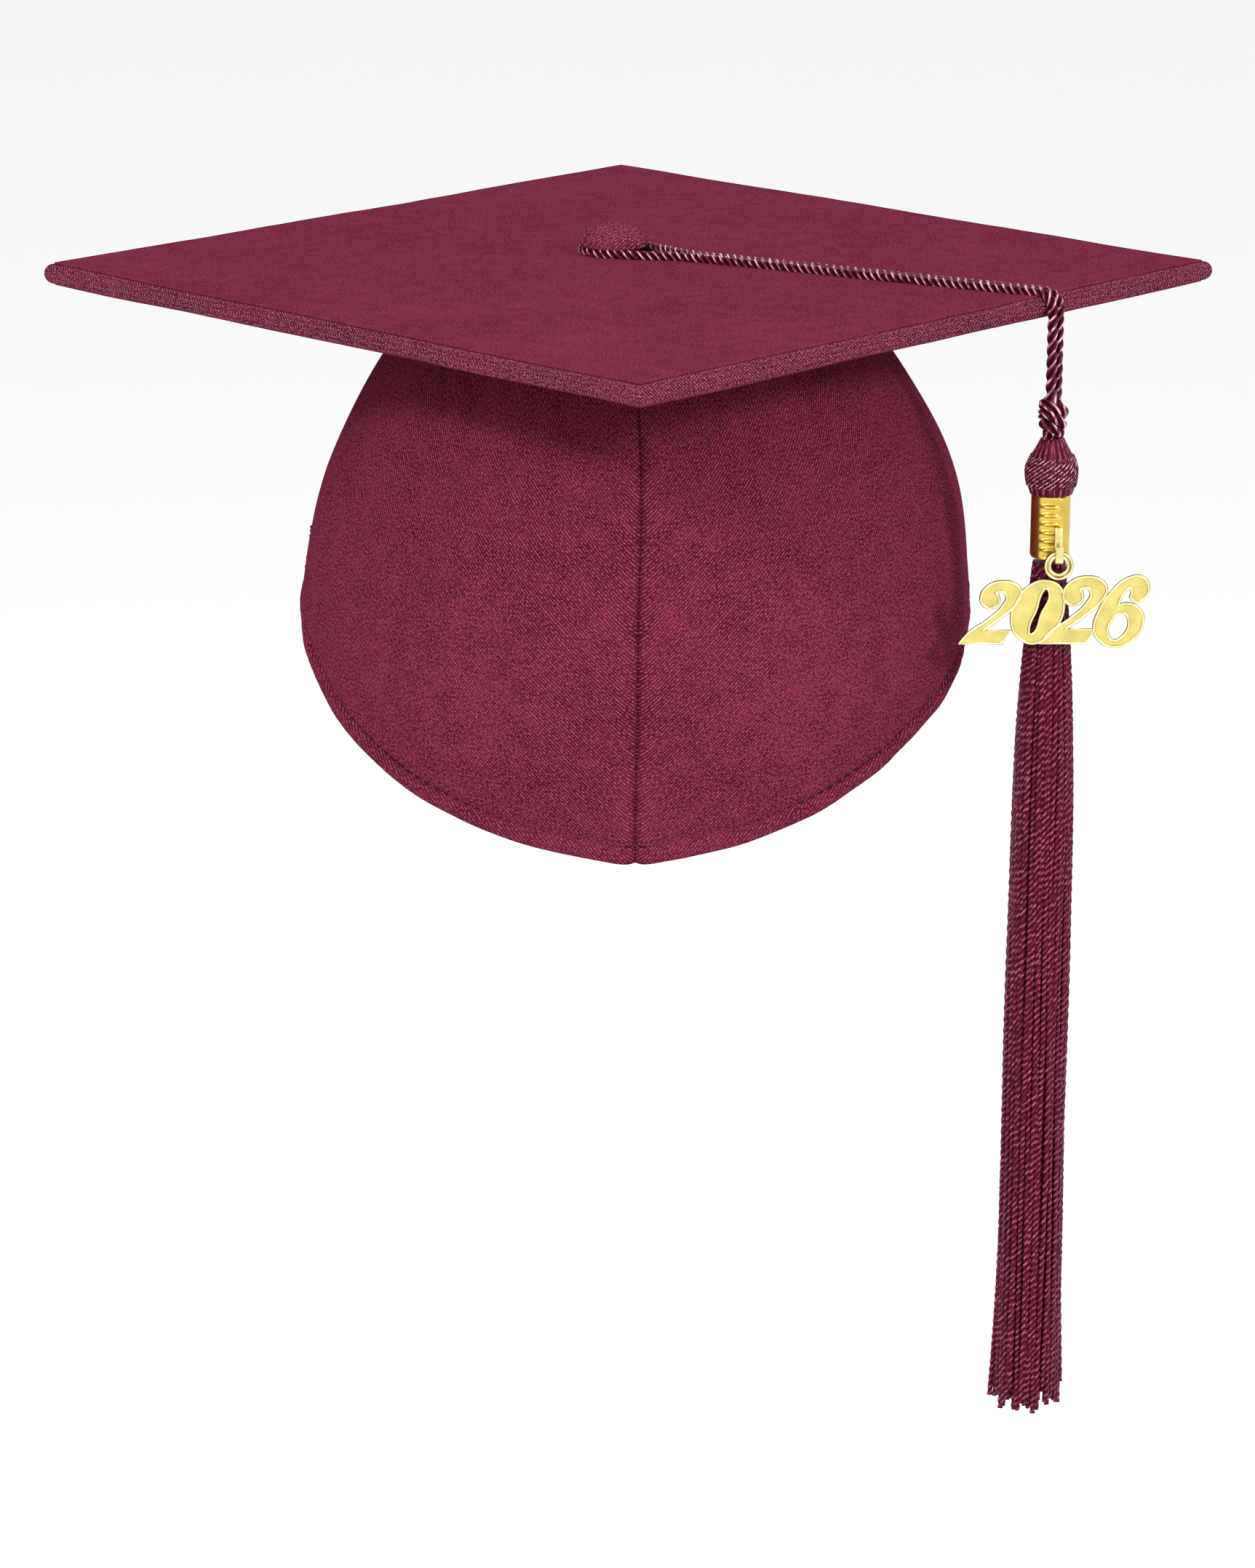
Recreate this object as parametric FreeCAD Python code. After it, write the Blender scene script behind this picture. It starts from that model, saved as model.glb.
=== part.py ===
import FreeCAD, Part
import math
import os
from FreeCAD import Vector

# Graduation cap (mortarboard) with a tassel, in millimetres.
# +Z is up and the wearer looks along -Y, so one corner of the board points forwards.
# The origin is the centre of the head opening, level with the bottom of the side seams.

# ---- driving dimensions ----
BOARD_SIDE = 241.0          # 9.5 in square
BOARD_TOP = 97.0            # height of the board's upper face above the side seams' lower end
BOARD_THICK = 4.6           # cardboard, both covers and the turned edges
COVER_THICK = 0.7
EDGE_ROLL_WIDTH = 2.5       # the puffed seam of the cover, measured in from the edge
POST_R = 1.5

BUTTON_X = -4.3             # the button is sewn on a little left of the board's centre
BUTTON_Y = 16.0             # and behind it
BUTTON_R = 10.0
BUTTON_STEM_R = 7.5
BUTTON_STEM_H = 3.2         # space under the dome for the cord
BUTTON_TOP = 9.2            # above the board
BUTTON_COVER_THICK = 0.9
WASHER_R = 8.0
WASHER_THICK = 0.8

FABRIC = 1.0                # thickness of the crown's twill
LAYER_GAP = 0.1             # between the layers sewn together
LINING = 0.8                # interfacing, hems and casing
ELASTIC = 1.6
ELASTIC_MARGIN = 1.5        # from the elastic to the casing's ends
HEM_DEPTH = 14.0
HEM_CLEAR = 0.5             # from the hem's upper edge to the interfacing
SEAM_ALLOWANCE = 6.0
TIP_CLEAR = 0.5             # from the crown's top disc to the panels round it
SIDE_SEAM_Y = 8.0
KEEL = 8.0                  # how far the centre-front seam stands proud of the round head
RIM_SIDE_Z = 0.0

# Depth below the board's top, half width, front reach and back reach of the crown at that depth.
CROWN_SECTIONS = (
    (BOARD_THICK, 57.0, 62.0, 58.0),
    (32.0, 77.5, 82.0, 78.0),
    (62.0, 92.5, 92.0, 90.0),
    (92.0, 98.0, 96.0, 96.0),
    (122.0, 98.0, 96.0, 98.0),
    (160.0, 93.0, 92.0, 98.0),
)
# The crown's lower edge seen from the side: distance behind the centre, and height.
RIM_LINE = ((125.0, 8.0), (60.0, 3.0), (8.0, RIM_SIDE_Z), (-45.0, -24.0), (-125.0, -66.0))

CORD_R = 1.2
CORD_HEIGHT = 1.6           # cord's centre above the board
CORD_LOOP_R = 8.8           # round the button's stem
HANG_OUT = 122.0            # hanging cord's distance from the centre, across the board's edge
HANG_ALONG = 46.0           # and along that edge, towards the right corner
STRAND_PITCH = 2.8          # between the two hanging runs of the cord
EDGE_BEND_R = 4.2           # the rounded board edge with the cord lying on it
SWING_Z = 91.0              # where the hanging cord starts to swing, just under the board
CORD_END_GAP = 1.8          # the hanging run starts this far from the pivot

KNOT_BALL_R = 3.0
KNOT_BALL_GAP = 0.3
KNOT_TOP = 68.5
KNOT_R = 4.0
HEAD_TOP = 57.2
HEAD_R = 7.2
FERRULE_TOP = 41.3
FERRULE_BOTTOM = 22.9
FERRULE_R = 5.6
FERRULE_BORE_R = 5.0
RIDGES = 6
RIDGE_PITCH = 2.5
RIDGE_R = 0.45
CORE_R = 3.4
CORE_BOTTOM = 30.0
SKIRT_BOTTOM = -241.0

CHARM_X = 1.8               # the charm hangs a little right of the tassel's axis
CHARM_FRONT = 8.6           # charm's middle plane in front of the tassel's axis
CHARM_THICK = 1.1
EYE_R = 4.2
EYE_HOLE_R = 2.2
EYE_Z = 22.2
EYE_OVERLAP = 2.1           # how far the eye's rim sinks into the numerals
HOOK_PIN_R = 0.7
HOOK_PIN_Z = 23.4
HOOK_HALF_WIDTH = 1.0
HOOK_THICK = 0.7
HOOK_TOP = 32.5
HOOK_TIP = 28.0
EYE_CLEAR = 0.5             # from the eye's front face to the hook's tip
NUMERAL_H = 21.0
NUMERAL_SLANT = 0.22

# ---- places that follow ----
BOARD_HALF = BOARD_SIDE / 2
BOARD_BOTTOM = BOARD_TOP - BOARD_THICK
FLAT_HALF = BOARD_HALF - EDGE_ROLL_WIDTH
EDGE_OUT = Vector(1, -1, 0).normalize()     # outward from the front right edge
EDGE_ALONG = Vector(1, 1, 0).normalize()    # along that edge, to the right corner
BUTTON = Vector(BUTTON_X, BUTTON_Y, 0)
TASSEL = EDGE_OUT * HANG_OUT + EDGE_ALONG * HANG_ALONG
CROWN_TOP = BOARD_BOTTOM
FAR = 300.0
UP = Vector(0, 0, 1)


def save(name, shape):
    """Writes one named piece."""
    shape.exportStep("parts/" + name + ".step")


def box(low, high):
    size = [b - a for a, b in zip(low, high)]
    return Part.makeBox(*size, Vector(*low))


def turned_smooth(profile, top_r, bottom_r, centre):
    """A solid turned from a smooth side given as (radius, height) points, with flat ends."""
    side = Part.BSplineCurve()
    side.interpolate([Vector(r, 0, z) for r, z in profile])
    first, last = Vector(profile[0][0], 0, profile[0][1]), Vector(profile[-1][0], 0, profile[-1][1])
    inner_last, inner_first = Vector(bottom_r, 0, last.z), Vector(top_r, 0, first.z)
    edges = [side.toShape(), Part.makeLine(last, inner_last), Part.makeLine(inner_last, inner_first),
             Part.makeLine(inner_first, first)]
    solid = Part.Face(Part.Wire(edges)).revolve(Vector(0, 0, 0), UP, 360)
    solid.translate(centre)
    return solid


def on_board(shape):
    """Turns a shape made square to the axes so that a corner points forwards."""
    shape.rotate(Vector(0, 0, 0), UP, 45)
    return shape


# ---- board ----
def board_sheet(half, low, high):
    """A square layer of the board, with the hole for the button's post."""
    sheet = on_board(box((-half, -half, low), (half, half, high)))
    return sheet.cut(Part.makeCylinder(POST_R, high - low, BUTTON + UP * low))


def edge_roll(quarter):
    """The puffed seam along one edge, rounded outside and mitred at both corners."""
    roll = box((-BOARD_HALF, -BOARD_HALF, BOARD_BOTTOM), (BOARD_HALF, -FLAT_HALF, BOARD_TOP))
    outer = [e for e in roll.Edges
             if abs(e.CenterOfMass.y + BOARD_HALF) < 0.01 and abs(e.CenterOfMass.x) < 0.01]
    roll = roll.makeFillet(BOARD_THICK / 2 - 0.1, outer)
    mitre = Part.makePolygon([Vector(0, 0, 0), Vector(-FAR, -FAR, 0), Vector(FAR, -FAR, 0), Vector(0, 0, 0)])
    roll = roll.common(Part.Face(mitre).extrude(Vector(0, 0, FAR)))
    roll.rotate(Vector(0, 0, 0), UP, 90 * quarter)
    return on_board(roll)


def make_board():
    save("board_core", board_sheet(FLAT_HALF, BOARD_BOTTOM + COVER_THICK, BOARD_TOP - COVER_THICK))
    save("board_cover_top", board_sheet(FLAT_HALF, BOARD_TOP - COVER_THICK, BOARD_TOP))
    save("board_cover_bottom", board_sheet(FLAT_HALF, BOARD_BOTTOM, BOARD_BOTTOM + COVER_THICK))
    for quarter, place in enumerate(("front_right", "back_right", "back_left", "front_left")):
        save("edge_roll_" + place, edge_roll(quarter))


# ---- button ----
def dome(radius, low, high):
    """A low dome with a rounded rim: the part of a flattened ball above its rim."""
    ball = Part.makeSphere(radius)
    squash = FreeCAD.Matrix()
    squash.scale(1, 1, (high - low) / radius)
    top = ball.transformGeometry(squash).common(box((-radius, -radius, 0), (radius, radius, radius)))
    top.translate(BUTTON + UP * low)
    return top


def make_button():
    stem_top = BOARD_TOP + BUTTON_STEM_H
    inner_r = BUTTON_R - BUTTON_COVER_THICK
    core_low, core_high = stem_top + BUTTON_COVER_THICK, BOARD_TOP + BUTTON_TOP - BUTTON_COVER_THICK
    core = dome(inner_r, core_low, core_high)
    cover = dome(BUTTON_R, stem_top, BOARD_TOP + BUTTON_TOP)
    cover = cover.fuse(Part.makeCylinder(BUTTON_STEM_R, BUTTON_STEM_H, BUTTON + UP * BOARD_TOP))
    post_low = CROWN_TOP - LINING - WASHER_THICK
    post = Part.makeCylinder(POST_R, core_low - post_low, BUTTON + UP * post_low)
    save("button_cover", cover.cut(core).cut(post).removeSplitter())
    save("button_core", core)
    save("button_post", post)
    washer = Part.makeCylinder(WASHER_R, WASHER_THICK, BUTTON + UP * post_low)
    save("button_washer", washer.cut(post))


# ---- crown ----
def crown_section(depth, half_width, front, back, inset, overhang):
    """Half of the crown's outline at one depth, drawn in by inset, closed at x = -overhang."""
    points = []
    for step in range(7):
        angle = math.radians(30 * step)
        x = (half_width - inset) * math.sin(angle)
        if step < 3:
            y = -(front - inset) * math.cos(angle) - KEEL * (1 - math.sin(angle))
        else:
            y = -(back - inset) * math.cos(angle)
        points.append(Vector(x, y, BOARD_TOP - depth))
    points[0].x = points[-1].x = 0
    curve = Part.BSplineCurve()
    curve.interpolate(points)
    shift = Vector(-overhang, 0, 0)
    corners = [points[-1], points[-1] + shift, points[0] + shift, points[0]]
    if not overhang:
        corners = [points[-1], points[0]]
    lines = [Part.makeLine(a, b) for a, b in zip(corners, corners[1:])]
    return Part.Wire([curve.toShape()] + lines)


def crown_half(inset, overhang=0.0):
    """The right half of the head's volume, drawn in by inset, from the board to below the rim."""
    sections = [crown_section(*row, inset, overhang) for row in CROWN_SECTIONS]
    return Part.makeLoft(sections, True, False)


def layer(outer, inner):
    """The right half of one layer of the crown, between two insets."""
    return crown_half(outer).cut(crown_half(inner, 5.0))


def rim_prism(lift, side):
    """Everything above (side = 1) or below (side = -1) the crown's lower edge raised by lift."""
    rim = Part.BSplineCurve()
    rim.interpolate([Vector(0, y, z + lift) for y, z in RIM_LINE])
    (y0, z0), (y1, z1) = RIM_LINE[0], RIM_LINE[-1]
    far_z = side * FAR
    corners = [Vector(0, y1, z1 + lift), Vector(0, y1, far_z), Vector(0, y0, far_z), Vector(0, y0, z0 + lift)]
    lines = [Part.makeLine(a, b) for a, b in zip(corners, corners[1:])]
    face = Part.Face(Part.Wire([rim.toShape()] + lines))
    face.translate(Vector(-FAR / 2, 0, 0))
    return face.extrude(Vector(FAR, 0, 0))


def front_space(x_low, y_high, top=CROWN_TOP):
    return box((x_low, -FAR, -FAR), (FAR, y_high, top))


def back_space(y_low, top=CROWN_TOP):
    return box((0, y_low, -FAR), (FAR, FAR, top))


def mirrored(shape):
    return shape.mirror(Vector(0, 0, 0), Vector(1, 0, 0))


def save_pair(name, right):
    save(name + "_right", right)
    save(name + "_left", mirrored(right))


def save_whole(name, right):
    """Saves a piece that runs across the middle, from its right half."""
    save(name, right.fuse(mirrored(right)).removeSplitter())


def make_crown():
    above_rim = rim_prism(0, 1)
    above_hem = rim_prism(HEM_DEPTH, 1)
    hem_band = above_rim.common(rim_prism(HEM_DEPTH - HEM_CLEAR, -1))
    shell = layer(0, FABRIC).common(above_rim)
    save_pair("crown_front", shell.common(front_space(0, SIDE_SEAM_Y)))
    save_pair("crown_back", shell.common(back_space(SIDE_SEAM_Y)))

    lining_out = FABRIC + LAYER_GAP
    lining = layer(lining_out, lining_out + LINING)
    lining_top = CROWN_TOP - 4 * LINING
    front_lining = front_space(SEAM_ALLOWANCE, SIDE_SEAM_Y - SEAM_ALLOWANCE, lining_top)
    save_pair("front_interfacing", lining.common(front_lining).common(above_hem))
    save_pair("hem_front", lining.common(front_space(0, SIDE_SEAM_Y)).common(hem_band))
    tape_space = box((0, -FAR, -FAR), (SEAM_ALLOWANCE - LAYER_GAP, 0, lining_top))
    save_whole("front_seam_tape", lining.common(above_hem).common(tape_space))

    elastic = layer(lining_out, lining_out + ELASTIC).common(back_space(SIDE_SEAM_Y + SEAM_ALLOWANCE))
    band = rim_prism(ELASTIC_MARGIN, 1).common(rim_prism(HEM_DEPTH - ELASTIC_MARGIN, -1))
    save_whole("elastic_band", elastic.common(band))
    casing_out = lining_out + ELASTIC + LAYER_GAP
    casing = layer(casing_out, casing_out + LINING)
    save_whole("elastic_casing", casing.common(back_space(SIDE_SEAM_Y + LINING)).common(hem_band))

    top_depth, half_width, front, back = CROWN_SECTIONS[0]
    outline = crown_section(top_depth, half_width, front, back, FABRIC + TIP_CLEAR, 0)
    tip = Part.Face(outline).extrude(Vector(0, 0, -LINING))
    tip = tip.fuse(mirrored(tip)).removeSplitter()
    save("crown_tip", tip.cut(Part.makeCylinder(POST_R, FAR, BUTTON + UP * (CROWN_TOP - FAR / 2))))


# ---- cord ----
def sweep(edges, radius, direction):
    """A round cord along edges that meet end to end, starting in the given direction."""
    wire = Part.Wire(edges)
    start = edges[0].valueAt(edges[0].FirstParameter)
    section = Part.Wire(Part.makeCircle(radius, start, direction))
    cord = wire.makePipeShell([section], True, False)
    print("cord volume %.1f, section times length %.1f" % (cord.Volume, math.pi * radius ** 2 * wire.Length))
    return cord


def hang_point(side, height):
    """A point on one hanging run: side is 1 for the run nearer the right corner, and -1."""
    point = TASSEL + EDGE_ALONG * (side * STRAND_PITCH / 2)
    return Vector(point.x, point.y, height)


def tangent_point(side, height):
    """Where the run on one side leaves its circle round the button."""
    target = hang_point(side, 0) - BUTTON
    reach = math.hypot(target.x, target.y)
    heading = math.atan2(target.y, target.x)
    opening = math.acos(CORD_LOOP_R / reach)
    angle = heading + side * opening
    return BUTTON + Vector(CORD_LOOP_R * math.cos(angle), CORD_LOOP_R * math.sin(angle), height)


def make_cord_loop():
    """The cord from under the board's edge, over it, round the button and back."""
    lie = BOARD_TOP + CORD_HEIGHT
    halves = []
    for side in (1, -1):
        tangent, hang = tangent_point(side, lie), hang_point(side, lie)
        run = (hang - tangent).normalize()
        bend_start = hang - run * EDGE_BEND_R
        bend_mid = bend_start + run * (EDGE_BEND_R * math.sin(math.radians(45)))
        bend_mid = bend_mid - UP * (EDGE_BEND_R * (1 - math.cos(math.radians(45))))
        bend_end = hang - UP * EDGE_BEND_R
        pivot = hang_point(side, SWING_Z)
        halves.append((pivot, bend_end, bend_mid, bend_start, tangent))
    right, left = halves
    loop_mid = BUTTON + (BUTTON - TASSEL).normalize() * CORD_LOOP_R + UP * lie
    edges = [
        Part.makeLine(right[0], right[1]),
        Part.Arc(right[1], right[2], right[3]).toShape(),
        Part.makeLine(right[3], right[4]),
        Part.Arc(right[4], loop_mid, left[4]).toShape(),
        Part.makeLine(left[4], left[3]),
        Part.Arc(left[3], left[2], left[1]).toShape(),
        Part.makeLine(left[1], left[0]),
    ]
    print("cord bend radii:", [round(edge.Curve.Radius, 1) for edge in edges if hasattr(edge.Curve, "Radius")])
    cord = sweep(edges, CORD_R, UP)
    for pivot in (right[0], left[0]):
        cord = cord.fuse(Part.makeSphere(CORD_R, pivot))
    save("cord_loop", cord.removeSplitter())
    print("cord loop length %.1f" % Part.Wire(edges).Length)


def make_cord_drops():
    """The two straight runs that hang from the edge down to the knot."""
    low = KNOT_TOP - KNOT_BALL_R - 1
    knot_space = Part.makeSphere(KNOT_BALL_R + KNOT_BALL_GAP, knot_pivot())
    for side, name in ((1, "right"), (-1, "left")):
        top = hang_point(side, SWING_Z)
        bottom = hang_point(side, low)
        run = Part.makeCylinder(CORD_R, top.z - bottom.z, bottom, UP)
        run = run.cut(Part.makeSphere(CORD_END_GAP, top)).cut(knot_space)
        run = run.cut(box((0, -FAR, low - 1), (FAR, 0, KNOT_TOP - KNOT_BALL_R + 0.5)))
        save("cord_drop_" + name, run)


# ---- tassel ----
def knot_pivot():
    return Vector(TASSEL.x, TASSEL.y, KNOT_TOP - KNOT_BALL_R)


def make_knot():
    """The knot, with a round top that the hanging runs can turn about."""
    ball = Part.makeSphere(KNOT_BALL_R, knot_pivot())
    body_top = KNOT_TOP - KNOT_BALL_R
    profile = [(2.6, body_top), (KNOT_R - 0.2, body_top - 2.0), (KNOT_R, body_top - 4.5),
               (KNOT_R - 0.6, body_top - 7.5), (2.6, HEAD_TOP)]
    body = turned_smooth(profile, 0, 0, TASSEL)
    save("cord_knot", ball.fuse(body).removeSplitter())


def make_head():
    """The netted bulb over the wound core."""
    height = HEAD_TOP - FERRULE_TOP
    profile = [(2.6, HEAD_TOP), (5.4, HEAD_TOP - 0.2 * height), (HEAD_R, HEAD_TOP - 0.52 * height),
               (HEAD_R - 0.5, HEAD_TOP - 0.78 * height), (FERRULE_R + 0.1, FERRULE_TOP)]
    bulb = turned_smooth(profile, 0, 0, TASSEL)
    core_top = HEAD_TOP - 0.3 * height
    core = Part.makeCylinder(CORE_R, core_top - CORE_BOTTOM, Vector(TASSEL.x, TASSEL.y, CORE_BOTTOM))
    save("tassel_head", bulb.cut(core))
    save("tassel_core", core)


def make_ferrule():
    """The metal sleeve, with raised rings round its middle."""
    height = FERRULE_TOP - FERRULE_BOTTOM
    sleeve = Part.makeCylinder(FERRULE_R, height, Vector(TASSEL.x, TASSEL.y, FERRULE_BOTTOM))
    first = FERRULE_BOTTOM + (height - RIDGE_PITCH * (RIDGES - 1)) / 2
    for ridge in range(RIDGES):
        at = Vector(TASSEL.x, TASSEL.y, first + ridge * RIDGE_PITCH)
        sleeve = sleeve.fuse(Part.makeTorus(FERRULE_R, RIDGE_R, at, UP))
    bore = Part.makeCylinder(FERRULE_BORE_R, height + 2, Vector(TASSEL.x, TASSEL.y, FERRULE_BOTTOM - 1))
    save("ferrule", sleeve.cut(bore).removeSplitter())


def make_skirt():
    """The bundle of strands, gripped in the ferrule and widening to its cut ends."""
    grip_r = FERRULE_BORE_R - LAYER_GAP
    neck = FERRULE_BOTTOM - 1.5
    profile = [(grip_r, neck), (5.9, 12.0), (7.0, -4.0), (8.3, -27.0), (9.0, -90.0), (9.6, -170.0),
               (10.4, SKIRT_BOTTOM)]
    bundle = turned_smooth(profile, 0, 0, TASSEL)
    grip = Part.makeCylinder(grip_r, FERRULE_TOP - neck - LAYER_GAP, Vector(TASSEL.x, TASSEL.y, neck))
    core_space = Part.makeCylinder(CORE_R, FAR, Vector(TASSEL.x, TASSEL.y, CORE_BOTTOM))
    save("tassel_skirt", bundle.fuse(grip).cut(core_space).removeSplitter())


# ---- charm ----
def charm_place(u, v, out):
    """A point of the charm: u to the right, v up from the numerals' foot, out towards the front."""
    foot = EYE_Z - EYE_R - NUMERAL_H + EYE_OVERLAP
    return Vector(TASSEL.x + CHARM_X + u, TASSEL.y - CHARM_FRONT - out, foot + v)


def disc(u, v, radius, stretch=1.0):
    """A flat disc or upright ellipse of the charm, as thick as the numerals."""
    back = Vector(u, -CHARM_THICK / 2, v)
    plate = Part.makeCylinder(radius, CHARM_THICK, Vector(0, 0, 0), Vector(0, 1, 0))
    matrix = FreeCAD.Matrix()
    matrix.scale(1, 1, stretch)
    plate = plate.transformGeometry(matrix)
    plate.translate(back)
    return plate


def plate(corners):
    """A flat straight-sided piece of a numeral."""
    points = [Vector(u, -CHARM_THICK / 2, v) for u, v in corners]
    return Part.Face(Part.makePolygon(points + points[:1])).extrude(Vector(0, CHARM_THICK, 0))


def numeral_two():
    """A 2: hooked top, slanting stroke and flat foot, 14 wide and NUMERAL_H high."""
    top_v = NUMERAL_H - 6.2
    hook = disc(7.4, top_v, 6.2).cut(disc(6.6, top_v, 2.9))
    hook = hook.cut(plate([(-2, top_v - 8), (-2, top_v - 0.8), (7.4, top_v - 0.8), (11.0, top_v - 8)]))
    curl = disc(3.3, top_v - 0.6, 2.3)
    stroke = plate([(8.6, top_v - 2.2), (13.4, top_v - 1.2), (5.0, 2.5), (0.2, 1.0)])
    foot = plate([(-0.6, 0), (13.2, 0), (14.4, 4.4), (1.0, 3.6)])
    return hook.fuse([curl, stroke, foot])


def numeral_zero():
    """A wide 0 with a narrow slot."""
    return disc(7.2, NUMERAL_H / 2, 7.4, 1.36).cut(disc(7.2, NUMERAL_H / 2, 0.9, 7.2))


def numeral_six():
    """A 6: round bowl and a stem that curls forwards at the top."""
    bowl = disc(7.0, 7.0, 7.0).cut(disc(7.2, 6.8, 2.2, 1.5))
    arch = disc(8.6, 11.6, 8.6).cut(disc(10.4, 11.6, 5.2))
    arch = arch.cut(plate([(9.0, -2), (20, -2), (20, 14.6), (9.0, 14.6)]))
    curl = disc(13.6, 16.4, 2.4)
    return bowl.fuse([arch, curl])


NUMERALS = ((-25.2, numeral_two), (-13.8, numeral_zero), (-2.2, numeral_two), (9.0, numeral_six))


def make_charm():
    """The year as four joined sloping numerals that hang from an eye."""
    numerals = None
    for u, make in NUMERALS:
        shape = make()
        shape.translate(Vector(u, 0, 0))
        numerals = numerals.fuse(shape) if numerals else shape
    slope = FreeCAD.Matrix()
    slope.A13 = NUMERAL_SLANT
    numerals = numerals.transformGeometry(slope)
    numerals.translate(Vector(-numerals.CenterOfGravity.x, 0, 0))
    numerals.translate(charm_place(0, 0, 0))
    eye_at = Vector(TASSEL.x + CHARM_X, TASSEL.y - CHARM_FRONT - CHARM_THICK / 2, EYE_Z)
    eye = Part.makeCylinder(EYE_R, CHARM_THICK, eye_at, Vector(0, 1, 0))
    hole = Part.makeCylinder(EYE_HOLE_R, CHARM_THICK, eye_at, Vector(0, 1, 0))
    save("year_charm", numerals.fuse(eye).cut(hole).removeSplitter())


def hook_strip(x, back, low, high):
    """An upright length of the tab."""
    return box((x - HOOK_HALF_WIDTH, back - HOOK_THICK, low), (x + HOOK_HALF_WIDTH, back, high))


def make_hook():
    """The bent tab on the ferrule that carries the charm's eye."""
    x, back = TASSEL.x + CHARM_X, TASSEL.y - FERRULE_R - RIDGE_R - LAYER_GAP
    low = HOOK_PIN_Z - HOOK_PIN_R
    strip = hook_strip(x, back, low, HOOK_TOP)
    foot = box((x - HOOK_HALF_WIDTH, back, HOOK_TOP - HOOK_THICK), (x + HOOK_HALF_WIDTH, TASSEL.y, HOOK_TOP))
    sleeve_at = Vector(TASSEL.x, TASSEL.y, HOOK_TOP - 2 * HOOK_THICK)
    sleeve = Part.makeCylinder(FERRULE_R, 3 * HOOK_THICK, sleeve_at)
    reach = CHARM_FRONT + CHARM_THICK / 2 + EYE_CLEAR - FERRULE_R - RIDGE_R
    pin = Part.makeCylinder(HOOK_PIN_R, reach, Vector(x, back, HOOK_PIN_Z), Vector(0, -1, 0))
    tip = hook_strip(x, back - reach, low, HOOK_TIP)
    save("charm_hook", strip.fuse([foot.cut(sleeve), pin, tip]).removeSplitter())


os.makedirs("parts", exist_ok=True)
make_board()
make_button()
make_crown()
make_cord_loop()
make_cord_drops()
make_knot()
make_head()
make_ferrule()
make_skirt()
make_charm()
make_hook()
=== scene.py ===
import bisect
import functools
import math
import random

import bmesh
import bpy
import numpy as np
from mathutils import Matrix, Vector, noise


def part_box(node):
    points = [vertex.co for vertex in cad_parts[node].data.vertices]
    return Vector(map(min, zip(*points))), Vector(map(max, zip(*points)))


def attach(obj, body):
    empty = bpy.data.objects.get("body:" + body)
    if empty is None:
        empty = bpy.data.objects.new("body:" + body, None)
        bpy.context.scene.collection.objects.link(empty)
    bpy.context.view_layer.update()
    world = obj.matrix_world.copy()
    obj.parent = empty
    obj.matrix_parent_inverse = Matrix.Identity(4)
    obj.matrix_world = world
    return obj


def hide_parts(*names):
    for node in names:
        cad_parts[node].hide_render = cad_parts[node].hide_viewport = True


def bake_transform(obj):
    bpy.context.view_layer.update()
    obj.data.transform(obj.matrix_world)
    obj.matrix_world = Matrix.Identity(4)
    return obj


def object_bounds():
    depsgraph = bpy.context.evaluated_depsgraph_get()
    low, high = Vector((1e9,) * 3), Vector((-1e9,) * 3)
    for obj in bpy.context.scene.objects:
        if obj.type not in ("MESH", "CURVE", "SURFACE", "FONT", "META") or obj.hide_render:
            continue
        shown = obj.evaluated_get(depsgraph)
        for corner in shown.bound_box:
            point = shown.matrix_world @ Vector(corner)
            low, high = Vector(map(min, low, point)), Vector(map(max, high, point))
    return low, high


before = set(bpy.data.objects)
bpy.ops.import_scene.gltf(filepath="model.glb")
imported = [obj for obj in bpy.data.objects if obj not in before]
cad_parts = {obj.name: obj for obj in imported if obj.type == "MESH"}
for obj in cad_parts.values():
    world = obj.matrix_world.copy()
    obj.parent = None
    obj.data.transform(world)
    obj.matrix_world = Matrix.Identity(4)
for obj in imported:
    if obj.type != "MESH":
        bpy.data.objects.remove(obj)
cad_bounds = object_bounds()

# Graduation cap in metres. +Z is up and the wearer looks along -Y, so one corner of the board is in front.
TURN = 2 * math.pi
HALF_TURN = math.pi
QUARTER_TURN = math.pi / 2
MM = 0.001

# ---- places from the frame ----
BOARD_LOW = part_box("board_cover_bottom")[0].z
BOARD_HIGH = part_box("board_cover_top")[1].z
FLAT_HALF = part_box("board_cover_top")[1].x / math.sqrt(2)
BOARD_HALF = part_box("edge_roll_front_right")[1].x / math.sqrt(2)
BUTTON_LOW, BUTTON_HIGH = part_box("button_cover")
BUTTON_X = (BUTTON_LOW.x + BUTTON_HIGH.x) / 2
BUTTON_Y = (BUTTON_LOW.y + BUTTON_HIGH.y) / 2
BUTTON_R = (BUTTON_HIGH.x - BUTTON_LOW.x) / 2
FERRULE_LOW, FERRULE_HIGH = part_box("ferrule")
TASSEL_X = (FERRULE_LOW.x + FERRULE_HIGH.x) / 2
TASSEL_Y = (FERRULE_LOW.y + FERRULE_HIGH.y) / 2
SKIRT_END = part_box("tassel_skirt")[0].z
CHARM_LOW, CHARM_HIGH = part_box("year_charm")
HOOK_LOW, HOOK_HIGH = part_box("charm_hook")
TIP_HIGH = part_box("crown_tip")[1].z
EYE_R = 0.0042
EYE_HOLE_R = 0.0022
EYE_X = (HOOK_LOW.x + HOOK_HIGH.x) / 2
EYE_Z = CHARM_HIGH.z - EYE_R

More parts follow.
